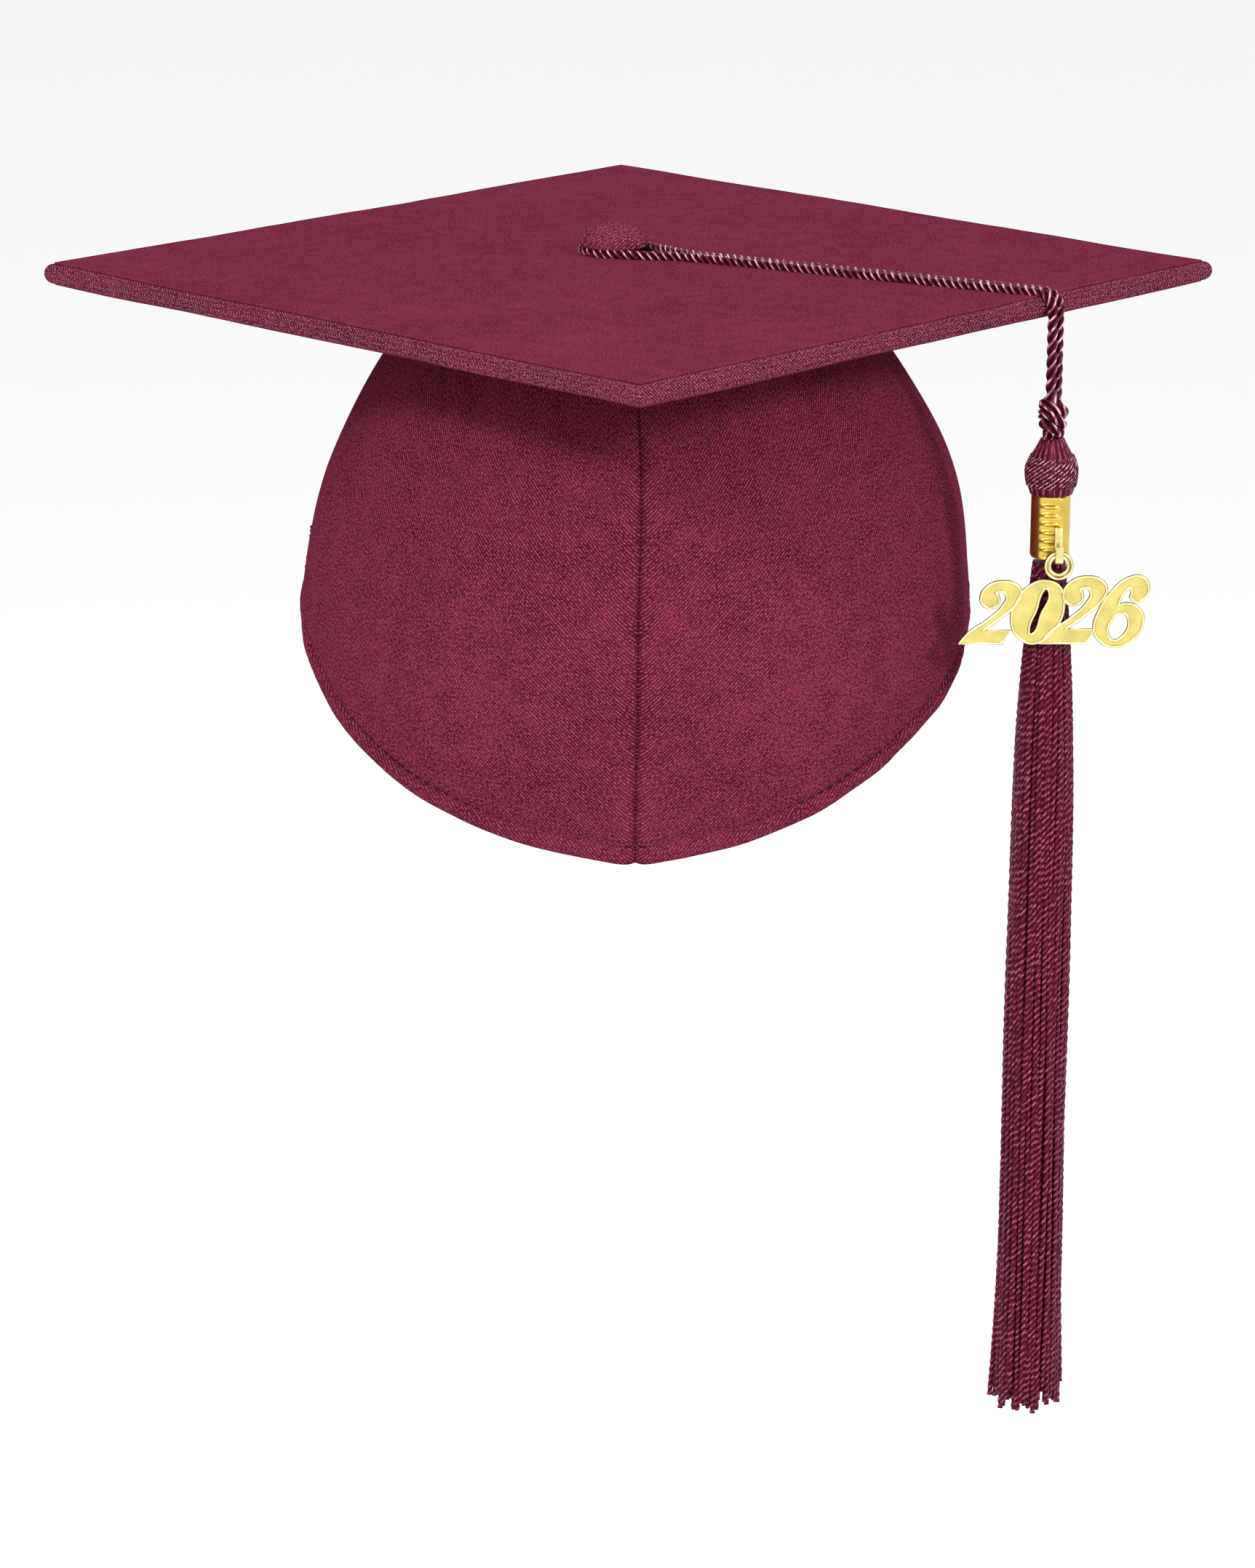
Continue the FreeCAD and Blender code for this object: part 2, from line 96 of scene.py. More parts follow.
# ---- sizes that the frame doesn't hold ----
PLIES = 3
PLY_OFFSET = 0.00078
PLY_R = 0.00072
PLY_SIDES = 10
STRAND_R = 0.00072
SKIRT_TOP = 0.0215
UNEVEN_ENDS = 0.0085         # the shortest strand ends this far above the longest
RING_STEP = 0.00045
TIGHT_TWIST = 0.0069        # length of one full turn of the cord on the board
LOOSE_TWIST = 0.0105        # and where the tassel's weight pulls it straight
LOOSENS_OVER = 0.008        # height below the board over which it changes

# Depth below the board's top, half width, front reach and back reach of the crown at that depth.
CROWN_DEPTHS = (0.0046, 0.032, 0.062, 0.092, 0.122, 0.160)
CROWN_WIDTHS = (0.057, 0.0775, 0.0925, 0.098, 0.098, 0.093)
CROWN_FRONTS = (0.062, 0.082, 0.092, 0.096, 0.096, 0.092)
CROWN_BACKS = (0.058, 0.078, 0.090, 0.096, 0.098, 0.098)
CROWN_KEEL = 0.008
# The crown's lower edge seen from the side: distance behind the centre, and height.
RIM_BEHIND = (-0.125, -0.045, 0.008, 0.060, 0.125)
RIM_HEIGHTS = (-0.066, -0.024, 0.0, 0.003, 0.008)
SIDE_SEAM_Y = 0.008
CLOTH = 0.0006
FOLD_R = 0.00095            # the turned hem's fold
HEM_DEPTH = 0.014
HEM_STITCH = 0.0050         # height of the hem's stitches above the rim
STITCH = 0.0024
STITCH_GAP = 0.0011
STITCH_R = 0.00030
TIP_SIZE = 0.975            # the tip's share of the crown's top
TWILL_PITCH = 0.00110
# Radii that turn angles into lengths on the cloth.
FRONT_R = 0.095
SIDE_R = 0.096
LINING_R = 0.094
EDGE_WEAVE_R = 0.0035


# ---- camera ----
LENS = 105                  # in millimetres, like the sensor's width
SENSOR = 36
CAMERA_PLACE = (-0.0212, -1.3155, 0.3479)
CAMERA_DOWN = 17.28         # degrees below level
CAMERA_TURN = -0.90         # degrees away from facing +Y
WHITE = (1.0, 1.0, 1.0, 1)


def add_object(name, data):
    """A new object in the scene."""
    made = bpy.data.objects.new(name, data)
    bpy.context.collection.objects.link(made)
    return made


def add_camera():
    camera = add_object("camera", bpy.data.cameras.new("camera"))
    camera.data.lens = LENS
    camera.data.sensor_width = SENSOR
    camera.location = CAMERA_PLACE
    camera.rotation_euler = (math.radians(90 - CAMERA_DOWN), 0, math.radians(CAMERA_TURN))
    bpy.context.scene.camera = camera


# ---- materials ----
def material(name, **values):
    """A new material. Each value goes on the shader socket of that name, with _ for a space."""
    made = bpy.data.materials.new(name)
    made.use_nodes = True
    shader = made.node_tree.nodes["Principled BSDF"]
    for socket, value in values.items():
        shader.inputs[socket.replace("_", " ")].default_value = value
    return made


class Pattern:
    """A new material and what builds its nodes."""

    def __init__(self, name, **values):
        self.made = material(name, **values)
        self.tree = self.made.node_tree
        self.shader = self.tree.nodes["Principled BSDF"]

    def give(self, socket, value):
        """Links a node's output to a socket, or sets the socket to a constant."""
        if isinstance(value, bpy.types.NodeSocket):
            self.tree.links.new(value, socket)
        else:
            socket.default_value = value

    def node(self, kind, inputs, output=0, **settings):
        made = self.tree.nodes.new("ShaderNode" + kind)
        for setting, value in settings.items():
            setattr(made, setting, value)
        for socket, value in inputs.items():
            self.give(made.inputs[socket], value)
        return made.outputs[output]

    def weave(self):
        """The cloth's own coordinates, in metres."""
        return self.node("UVMap", {}, uv_map="weave")

    def place(self):
        return self.node("TexCoord", {}, output="Object")

    def math(self, operation, a, b=0.0):
        return self.node("Math", {0: a, 1: b}, operation=operation)

    def axis(self, vector, name):
        return self.node("SeparateXYZ", {0: vector}, output=name)

    def both(self, cloth):
        """The cloth's coordinates across and along."""
        return self.axis(cloth, "X"), self.axis(cloth, "Y")

    def noise(self, vector, scale, detail=2.0):
        return self.node("TexNoise", {"Vector": vector, "Scale": scale, "Detail": detail})

    def half(self, value):
        """Takes a value from -1 to 1 to one from 0 to 1."""
        return self.node("Math", {0: value, 1: 0.5, 2: 0.5}, operation="MULTIPLY_ADD")

    def wave(self, value, pitch):
        return self.math("SINE", self.math("MULTIPLY", value, TURN / pitch))

    def total(self, *parts):
        """The sum of values, each given with its weight."""
        terms = [value if weight == 1 else self.math("MULTIPLY", value, weight) for value, weight in parts]
        return functools.reduce(functools.partial(self.math, "ADD"), terms)

    def blend(self, factor, first, second):
        mixed = self.tree.nodes.new("ShaderNodeMix")
        mixed.data_type = "RGBA"
        for socket, value in ((0, factor), (6, first), (7, second)):
            self.give(mixed.inputs[socket], value)
        return mixed.outputs[2]

    def level(self, value, low, high, out_low=0.0, out_high=1.0):
        inputs = {"Value": value, "From Min": low, "From Max": high, "To Min": out_low, "To Max": out_high}
        return self.node("MapRange", inputs)

    def colour(self, socket):
        self.give(self.shader.inputs["Base Color"], socket)

    def shades(self, value, low, high, dark, light):
        """The base colour goes from dark to light as the value goes from low to high."""
        self.colour(self.blend(self.level(value, low, high), dark, light))

    def roughness(self, grain, low, high):
        """Roughness from low to high over the usual range of a noise."""
        self.give(self.shader.inputs["Roughness"], self.level(grain, 0.3, 0.7, low, high))

    def bump(self, height, distance, strength=1.0):
        normal = self.node("Bump", {"Height": height, "Distance": distance, "Strength": strength})
        self.give(self.shader.inputs["Normal"], normal)


def twill(name, dark, light, painted_glint):
    """Gown cloth: fine diagonal ribs with soft mottling, and painted highlights in flecks along the ribs."""
    pattern = Pattern(name, Specular_IOR_Level=0.0)
    cloth = pattern.weave()
    u, v = pattern.both(cloth)
    wander = pattern.math("MULTIPLY", pattern.noise(cloth, 90.0), 2.5)
    diagonal = pattern.math("MULTIPLY", pattern.math("SUBTRACT", u, v), TURN / TWILL_PITCH)
    rib = pattern.half(pattern.math("SINE", pattern.math("ADD", diagonal, wander)))
    yarn = pattern.half(pattern.wave(pattern.math("ADD", u, v), 0.62 * TWILL_PITCH))
    mottle = pattern.noise(cloth, 160.0, 5.0)
    broad = pattern.noise(cloth, 26.0, 3.0)
    grain = pattern.noise(cloth, 1500.0, 2.0)
    shade = pattern.total((mottle, 0.7), (broad, 0.5))
    ground = pattern.blend(pattern.level(shade, 0.42, 0.78), dark, light)
    # Painted highlight: the glint colour is painted in flecks along the tops of the ribs.
    rib_painted_highlight = pattern.math("MULTIPLY", pattern.level(rib, 0.10, 1.0), pattern.level(grain, 0.40, 0.66))
    pattern.colour(pattern.blend(rib_painted_highlight, ground, painted_glint))
    pattern.roughness(grain, 0.48, 0.68)
    pattern.bump(pattern.total((rib, 0.7), (yarn, 0.3), (grain, 0.5)), 0.00012, 0.8)
    return pattern.made


def rayon(name, ply_r, dark, light, painted_glint):
    """Shiny twisted yarn with painted light: a painted highlight in flecks along the crest of each ply, and
    painted shade where two plies meet.
    """
    pattern = Pattern(name, Specular_IOR_Level=0.12, Specular_Tint=(1.0, 0.60, 0.70, 1))
    cloth = pattern.weave()
    u, v = pattern.both(cloth)
    crest = pattern.half(pattern.math("COSINE", pattern.math("MULTIPLY", u, 2 / ply_r)))
    fibre = pattern.half(pattern.wave(pattern.total((u, 2.4), (v, 1)), 0.0011))
    grain = pattern.noise(cloth, 2400.0, 3.0)
    fleck = pattern.noise(cloth, 500.0, 2.0)
    # Painted light and shade: the ground is painted dark where plies meet and lighter on each crest, and a
    # painted highlight lies on the crest in flecks.
    ground = pattern.blend(pattern.level(crest, 0.15, 0.85), dark, light)
    crest_painted_highlight = pattern.math("MULTIPLY", pattern.level(crest, 0.62, 0.95), pattern.level(fleck, 0.42, 0.62))
    pattern.colour(pattern.blend(crest_painted_highlight, ground, painted_glint))
    pattern.roughness(grain, 0.26, 0.42)
    pattern.bump(pattern.total((fibre, 0.6), (grain, 0.5)), 0.00010, 0.7)
    return pattern.made


def gilt(name, rough, bump, tint, painted_flank_shade=None):
    """Gilt metal with a fine cast grain. With a flank colour it takes painted shade where it turns sideways.
    """
    pattern = Pattern(name, Metallic=1.0)
    place = pattern.place()
    grain = pattern.noise(place, 3200.0, 3.0)
    cloud = pattern.noise(place, 260.0, 2.0)
    darker = tuple(0.80 * part for part in tint[:3]) + (1,)
    colour = pattern.blend(pattern.level(cloud, 0.3, 0.7), darker, tint)
    # Painted shade: the flank colour darkens the metal where it faces sideways rather than to the front or
    # back.
    if painted_flank_shade:
        normal = pattern.node("TexCoord", {}, output="Normal")
        facing = pattern.math("ABSOLUTE", pattern.axis(normal, "Y"))
        colour = pattern.blend(pattern.level(facing, 0.45, 0.85), painted_flank_shade, colour)
    pattern.colour(colour)
    pattern.roughness(grain, rough * 0.8, rough * 1.3)
    pattern.bump(grain, bump, 0.9)
    return pattern.made


def fibre_board():
    pattern = Pattern("cardboard", Specular_IOR_Level=0.2)
    fleck = pattern.noise(pattern.place(), 700.0, 5.0)
    pattern.shades(fleck, 0.35, 0.65, (0.33, 0.24, 0.15, 1), (0.48, 0.37, 0.25, 1))
    pattern.roughness(fleck, 0.75, 0.9)
    pattern.bump(fleck, 0.0001)
    return pattern.made


def pressed_lining():
    """Stiff non-woven interfacing, with its fibres and a grid of pressed dots."""
    pattern = Pattern("interfacing", Specular_IOR_Level=0.25)
    cloth = pattern.weave()
    dots = pattern.node("TexVoronoi", {"Vector": cloth, "Scale": 650.0, "Randomness": 0.25})
    fibre = pattern.noise(cloth, 1100.0, 6.0)
    shade = pattern.total((dots, 0.4), (fibre, 0.8))
    pattern.shades(shade, 0.3, 0.9, (0.055, 0.012, 0.022, 1), (0.15, 0.045, 0.07, 1))
    pattern.roughness(fibre, 0.8, 0.95)
    pattern.bump(shade, 0.0002)
    return pattern.made


def ribbed_elastic():
    pattern = Pattern("elastic", Specular_IOR_Level=0.3)
    place = pattern.place()
    ribs = pattern.half(pattern.wave(pattern.axis(place, "Z"), 0.0014))
    grain = pattern.noise(place, 1800.0, 2.0)
    height = pattern.total((ribs, 1), (grain, 0.4))
    pattern.shades(height, 0.2, 1.2, (0.55, 0.53, 0.5, 1), (0.8, 0.79, 0.76, 1))
    pattern.roughness(grain, 0.7, 0.85)
    pattern.bump(height, 0.0002)
    return pattern.made


def moulded_plastic():
    pattern = Pattern("button_plastic", Specular_IOR_Level=0.5)
    skin = pattern.noise(pattern.place(), 900.0, 3.0)
    pattern.shades(skin, 0.3, 0.7, (0.60, 0.58, 0.54, 1), (0.72, 0.70, 0.66, 1))
    pattern.roughness(skin, 0.38, 0.55)
    pattern.bump(skin, 0.00004)
    return pattern.made


def brushed_steel():
    pattern = Pattern("steel", Metallic=1.0)
    place = pattern.place()
    scratch = pattern.noise(place, 1500.0, 4.0)
    wear = pattern.noise(place, 120.0, 2.0)
    pattern.shades(wear, 0.3, 0.7, (0.46, 0.46, 0.47, 1), (0.62, 0.62, 0.63, 1))
    pattern.roughness(scratch, 0.28, 0.5)
    pattern.bump(scratch, 0.00003)
    return pattern.made


def woven_tape():
    """Narrow cotton tape with plain over-and-under weave."""
    pattern = Pattern("tape", Specular_IOR_Level=0.25)
    cloth = pattern.weave()
    u, v = pattern.both(cloth)
    yarn = 0.0009
    over = pattern.half(pattern.math("MULTIPLY", pattern.wave(u, yarn), pattern.wave(v, yarn)))
    grain = pattern.noise(cloth, 1600.0, 2.0)
    shade = pattern.total((over, 1), (grain, 0.5))
    pattern.shades(shade, 0.2, 1.3, (0.06, 0.008, 0.02, 1), (0.16, 0.03, 0.06, 1))
    pattern.roughness(grain, 0.7, 0.85)
    pattern.bump(over, 0.00015)
    return pattern.made


# ---- meshes ----
class Shape:
    """Points, faces and weave coordinates gathered for one mesh."""

    def __init__(self):
        self.points = []
        self.faces = []
        self.weave = []

    def grid(self, rows, weave, wrap=False, capped=False):
        """Quads over rows of points. A wrapped grid closes on itself, and its weave has one more column."""
        base = len(self.points)
        count, across = rows.shape[:2]
        self.points.extend(rows.reshape(-1, 3).tolist())
        weave = weave.tolist()
        for i in range(count - 1):
            near, far = base + i * across, base + (i + 1) * across
            for j in range(across if wrap else across - 1):
                k = (j + 1) % across
                self.faces.append((near + j, far + j, far + k, near + k))
                self.weave.extend((weave[i][j], weave[i + 1][j], weave[i + 1][j + 1], weave[i][j + 1]))
        if capped:
            for row, order in ((0, 1), (count - 1, -1)):
                ring = list(range(across))[::order]
                self.faces.append([base + row * across + j for j in ring])
                self.weave.extend(weave[row][j] for j in ring)

    def tube(self, path, radius, sides, frame_axes=None, twist=None, lobe=0.0, start=0.0):
        """A tube along a path, with a two-lobed section that turns by twist where lobe is above 0.

        Its weave is measured round from the lobe, and along from start.
        """
        normal, binormal = frame_axes if frame_axes else axes_along(path)
        around = np.linspace(0, TURN, sides + 1)
        radius = np.broadcast_to(radius, len(path))[:, None]
        turned = np.zeros(len(path)) if twist is None else twist
        reach = radius * (1 + lobe * np.cos(2 * (around[None, :-1] - turned[:, None])))
        cosine, sine = np.cos(around[:-1])[None, :, None], np.sin(around[:-1])[None, :, None]
        out = cosine * normal[:, None] + sine * binormal[:, None]
        along = start + run_lengths(path)
        round_from_lobe = (around[None, :] - turned[:, None]) * radius
        weave = pairs(round_from_lobe, along[:, None])
        self.grid(path[:, None] + reach[:, :, None] * out, weave, wrap=True, capped=True)

    def piece(self, name, look):
        """The mesh as an object with that look."""
        mesh = bpy.data.meshes.new(name)
        mesh.from_pydata(self.points, [], self.faces)
        layer = mesh.uv_layers.new(name="weave")
        layer.data.foreach_set("uv", np.array(self.weave, np.float32).ravel())
        mesh.materials.append(look)
        mesh.shade_smooth()
        return add_object(name, mesh)


def pairs(across, along):
    """Weave coordinates from those across and those along."""
    return np.stack(np.broadcast_arrays(across, along), axis=2)


def run_lengths(path):
    """Distance along a path at each of its points."""
    steps = np.linalg.norm(np.diff(path, axis=0), axis=1)
    return np.concatenate([[0.0], np.cumsum(steps)])


def axes_along(path):
    """Two directions square to a path at each of its points, turning as little as they can."""
    along = np.gradient(path, axis=0)
    along /= np.linalg.norm(along, axis=1)[:, None]
    first = np.cross(along[0], (0.31, 0.22, 0.93))
    if np.linalg.norm(first) < 0.1:
        first = np.cross(along[0], (1.0, 0.1, 0.0))
    normals = [first / np.linalg.norm(first)]
    for direction in along[1:]:
        turned = normals[-1] - direction * np.dot(normals[-1], direction)
        normals.append(turned / np.linalg.norm(turned))
    normal = np.array(normals)
    return normal, np.cross(along, normal)


def evenly(path, step):
    """The same path with points at equal steps."""
    along = run_lengths(path)
    places = np.linspace(0, along[-1], max(4, int(round(along[-1] / step)) + 1))
    return np.stack([np.interp(places, along, path[:, k]) for k in range(3)], axis=1)


def spline_points(points):
    """Points along the smooth curve that has these control points."""
    curve = bpy.data.curves.new("line", "CURVE")
    curve.dimensions = "3D"
    spline = curve.splines.new("NURBS")
    spline.points.add(len(points) - 1)
    for control, place in zip(spline.points, points):
        control.co = (*place, 1.0)
    spline.order_u = 3
    spline.use_endpoint_u = True
    spline.resolution_u = 24
    made = add_object("line", curve)
    mesh = bpy.data.meshes.new_from_object(made)
    path = np.array([v.co for v in mesh.vertices])
    bpy.data.objects.remove(made)
    bpy.data.meshes.remove(mesh)
    return path


def twist_along(path, pitch):
    """Angle of the cord's lay at each point, where pitch is the length of one turn."""
    steps = np.concatenate([[0.0], np.diff(run_lengths(path))])
    return np.cumsum(TURN * steps / np.broadcast_to(pitch, len(path)))


def lay_rope(shape, path, pitch):
    """Twisted plies along a path."""
    normal, binormal = axes_along(path)
    twist = twist_along(path, pitch)
    for ply in range(PLIES):
        angle = twist + TURN * ply / PLIES
        out = np.cos(angle)[:, None] * normal + np.sin(angle)[:, None] * binormal
        place = path + PLY_OFFSET * out
        shape.tube(place, PLY_R, PLY_SIDES, frame_axes=(normal, binormal), twist=angle, start=ply)


def applied(piece):
    """Replaces the piece's mesh by what its modifiers make of it."""
    graph = bpy.context.evaluated_depsgraph_get()
    mesh = bpy.data.meshes.new_from_object(piece.evaluated_get(graph))
    piece.modifiers.clear()
    piece.data = mesh
    return piece


def cloth_piece(name, look, rows, weave, offset=-1.0, wrap=False):
    """Cloth of the cap's thickness over a grid of places; offset says which side it thickens to."""
    shape = Shape()
    shape.grid(rows, weave, wrap=wrap)
    piece = shape.piece(name, look)
    solid = piece.modifiers.new("thickness", "SOLIDIFY")
    solid.thickness = CLOTH
    solid.offset = offset
    return applied(piece)


def empty_grid(down, across):
    """Room for a grid's places and weave, in steps down and across."""
    return np.zeros((down + 1, across + 1, 3)), np.zeros((down + 1, across + 1, 2))


def smooth_through(places, values):
    """A smooth curve through values given at rising places, as a function."""
    slopes = np.gradient(np.array(values), np.array(places)).tolist()

    def at(x):
        x = min(max(x, places[0]), places[-1])
        i = min(bisect.bisect_right(places, x), len(places) - 1) - 1
        span = places[i + 1] - places[i]
        t = (x - places[i]) / span
        hold = values[i] * (1 + 2 * t) * (1 - t) ** 2 + values[i + 1] * t * t * (3 - 2 * t)
        lean = slopes[i] * t * (1 - t) ** 2 - slopes[i + 1] * t * t * (1 - t)
        return hold + span * lean

    return at


def ripple(*place):
    """Smooth noise from about -1 to 1 at a place given by two or three numbers."""
    return noise.noise(Vector((*place, 0.0)[:3]))


def turned(shape, profile, sides, centre, wobble=None):
    """A surface turned about the upright line through centre, from (radius, height) points."""
    around = np.linspace(0, TURN, sides + 1)
    profile = np.array(profile)
    reach = np.broadcast_to(profile[:, :1], (len(profile), sides)).copy()
    if wobble:
        for i, (_, height) in enumerate(profile):
            for j in range(sides):
                reach[i, j] += wobble(around[j], height)
    x = centre[0] + reach * np.sin(around[None, :-1])
    y = centre[1] - reach * np.cos(around[None, :-1])
    z = np.broadcast_to(profile[:, 1:], x.shape)
    weave = pairs(around[None, :] * profile[:, 0].max(), run_lengths(profile)[:, None])
    shape.grid(np.stack([x, y, z], axis=2), weave, wrap=True)


# ---- cord ----
# From the knot up over the board's edge, round the button and back. The two runs close up soon after the
# button.
CORD_ROUTE = (
    (0.11978, -0.05275, 0.0668),
    (0.11978, -0.05275, 0.0910),
    (0.11978, -0.05275, 0.0961),
    (0.11760, -0.05152, 0.0986),
    (0.11456, -0.04979, 0.0986),
    (0.10725, -0.04565, 0.0986),
    (0.02421, 0.00140, 0.0986),
    (0.01593, 0.00707, 0.0986),
    (0.00973, 0.01541, 0.0986),
    (0.00379, 0.02176, 0.0986),
    (-0.00349, 0.02554, 0.0986),
    (-0.01061, 0.02394, 0.0986),
    (-0.01435, 0.01733, 0.0986),
    (-0.01207, 0.01040, 0.0986),
    (-0.00508, 0.00610, 0.0986),
    (0.00342, 0.00427, 0.0986),
    (0.01376, 0.00324, 0.0986),
    (0.02287, -0.00096, 0.0986),
    (0.10527, -0.04763, 0.0986),
    (0.11258, -0.05177, 0.0986),
    (0.11562, -0.05350, 0.0986),
    (0.11780, -0.05473, 0.0961),
    (0.11780, -0.05473, 0.0910),
    (0.11780, -0.05473, 0.0668),
)


def make_cord(looks):
    """The doubled cord: one length from the knot round the button and back."""
    path = evenly(spline_points(CORD_ROUTE), RING_STEP)
    hang = np.clip((BOARD_HIGH - path[:, 2]) / LOOSENS_OVER, 0, 1)
    pitch = TIGHT_TWIST + (LOOSE_TWIST - TIGHT_TWIST) * hang
    shape = Shape()
    lay_rope(shape, path, pitch)
    cord = shape.piece("cord", looks["cord"])
    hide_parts("cord_loop", "cord_drop_right", "cord_drop_left")
    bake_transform(cord)
    return cord, path


# ---- board ----
def on_board(across, out, quarter):
    """A place given across and out from the centre towards one edge; 0 is the front right edge."""
    angle = math.radians(45 + 90 * quarter)
    cosine, sine = math.cos(angle), math.sin(angle)
    return across * cosine + out * sine, across * sine - out * cosine


def board_rise(x, y, up):
    """How far the cover lifts off the board at a place: a little everywhere, more towards its edges."""
    a, b = (x + y) / math.sqrt(2), (y - x) / math.sqrt(2)
    rim = max(abs(a), abs(b)) / FLAT_HALF
    ripples = 0.00018 * ripple(a * 30, b * 30, up) + 0.00007 * ripple(a * 90, b * 90, up)
    return ripples + 0.00040 * rim ** 8 * (0.8 + ripple(a * 16, b * 16, 4.0))


def edge_puff(across, turn, quarter):
    """How far the turned edge stands out from its plain rounded shape, in metres."""
    wander = 0.30 * ripple(across * 24, quarter, 3.0)
    creases = sum(math.exp(-((turn - place - wander) / 0.13) ** 2) for place in (0.85, 1.45, 2.2))
    lumps = ripple(across * 60, turn * 0.9, quarter + 0.5) + 0.5 * ripple(across * 170, turn * 1.5, quarter)
    calm = 1 - min(1.0, abs(across) / BOARD_HALF) ** 12
    ends = min(1.0, turn / 0.35, (HALF_TURN - turn) / 0.35)
    return (0.00030 + (0.00034 * lumps - 0.00050 * creases) * calm) * max(0.0, ends)


def make_edge(quarter, place, looks):
    """One turned edge of the cover: a puffed roll with folds along it, mitred at both corners."""
    half_height = (BOARD_HIGH - BOARD_LOW) / 2
    middle = BOARD_LOW + half_height
    steps, across_steps = 44, 240
    rows, weave = empty_grid(steps, across_steps)
    for j in range(across_steps + 1):
        share = 2 * j / across_steps - 1
        start = on_board(share * FLAT_HALF, FLAT_HALF, quarter)
        rises = [board_rise(*start, 1), board_rise(*start, -1)]
        for i in range(steps + 1):
            turn = HALF_TURN * i / steps
            puff = edge_puff(share * BOARD_HALF, turn, quarter)
            up = math.cos(turn)
            rise = rises[0] * up if up > 0 else rises[1] * up
            out = FLAT_HALF + (BOARD_HALF - FLAT_HALF - CLOTH + puff) * math.sin(turn)
            x, y = on_board(share * out, out, quarter)
            rows[i, j] = (x, y, middle + (half_height + puff) * up + rise)
            weave[i, j] = (share * BOARD_HALF, EDGE_WEAVE_R * turn)
    edge = cloth_piece("turned_edge_" + place, looks["edge"], rows, weave)
    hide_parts("edge_roll_" + place)
    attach(edge, "cap")


def make_cover(name, level, up, looks):
    """The cloth stretched over one face of the board, a little slack near its edges."""
    steps = 150
    rows, weave = empty_grid(steps, steps)
    for i in range(steps + 1):
        for j in range(steps + 1):
            a, b = (2 * i / steps - 1) * FLAT_HALF, (2 * j / steps - 1) * FLAT_HALF
            x, y = on_board(a, b, 0)
            rows[i, j] = (x, y, level + up * board_rise(x, y, up))
            weave[i, j] = (a, b)
    cover = cloth_piece(name, looks["board"], rows, weave, offset=-up)
    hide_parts("board_cover_top" if up > 0 else "board_cover_bottom")
    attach(cover, "cap")


def make_button(looks):
    """The cloth-covered button: a soft dome gathered in to a stem under its rim."""
    low, high = BOARD_HIGH + 0.0032, BUTTON_HIGH.z
    stem_r = 0.0072
    profile = [(0.0001, high)]
    for step in range(1, 15):
        angle = QUARTER_TURN * step / 14
        profile.append((BUTTON_R * math.sin(angle) ** 0.95, low + (high - low) * math.cos(angle) ** 0.9))
    profile += [(BUTTON_R - 0.0002, low - 0.0004), (BUTTON_R - 0.0010, low - 0.0007)]
    profile += [(stem_r + 0.0006, low - 0.0006), (stem_r, low - 0.0016), (stem_r, BOARD_HIGH - 0.0002)]

    def pleats(angle, height):
        depth = 0.00022 * min(1.0, max(0.0, (high - height) / (high - low)))
        puckers = ripple(math.cos(angle) * 2, math.sin(angle) * 2, height * 300)
        return depth * (math.sin(17 * angle) * 0.5 + puckers)

    shape = Shape()
    turned(shape, profile, 96, (BUTTON_X, BUTTON_Y), pleats)
    button = shape.piece("covered_button", looks["button"])
    for corner in button.data.loops:
        place = button.data.vertices[corner.vertex_index].co
        button.data.uv_layers["weave"].data[corner.index].uv = (place.x, 0.6 * place.y + 0.8 * place.z)
    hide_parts("button_cover")
    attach(button, "cap")


# ---- crown ----
width_at = smooth_through(CROWN_DEPTHS, CROWN_WIDTHS)
front_at = smooth_through(CROWN_DEPTHS, CROWN_FRONTS)
back_at = smooth_through(CROWN_DEPTHS, CROWN_BACKS)
rim_at = smooth_through(RIM_BEHIND, RIM_HEIGHTS)
CROWN_TOP = BOARD_LOW


def plain_crown(angle, z):
    """The crown's right side without folds: x and y at an angle from the front, and a height."""
    depth = BOARD_HIGH - z
    x = width_at(depth) * math.sin(angle)
    if angle < QUARTER_TURN:
        return x, -front_at(depth) * math.cos(angle) - CROWN_KEEL * (1 - math.sin(angle))
    return x, -back_at(depth) * math.cos(angle)


@functools.cache
def rim_height(angle):
    """Height of the crown's lower edge at an angle from the front."""
    z = 0.0
    for _ in range(14):
        z = rim_at(plain_crown(angle, z)[1])
    return z


def seam_angle(z):
    """Angle of the side seam at a height."""
    return math.acos(-SIDE_SEAM_Y / back_at(BOARD_HIGH - z))


def bulge(distance, width):
    """A smooth bump: 1 at no distance, and near 0 beyond twice the width."""
    return math.exp(-(distance / width) ** 2)


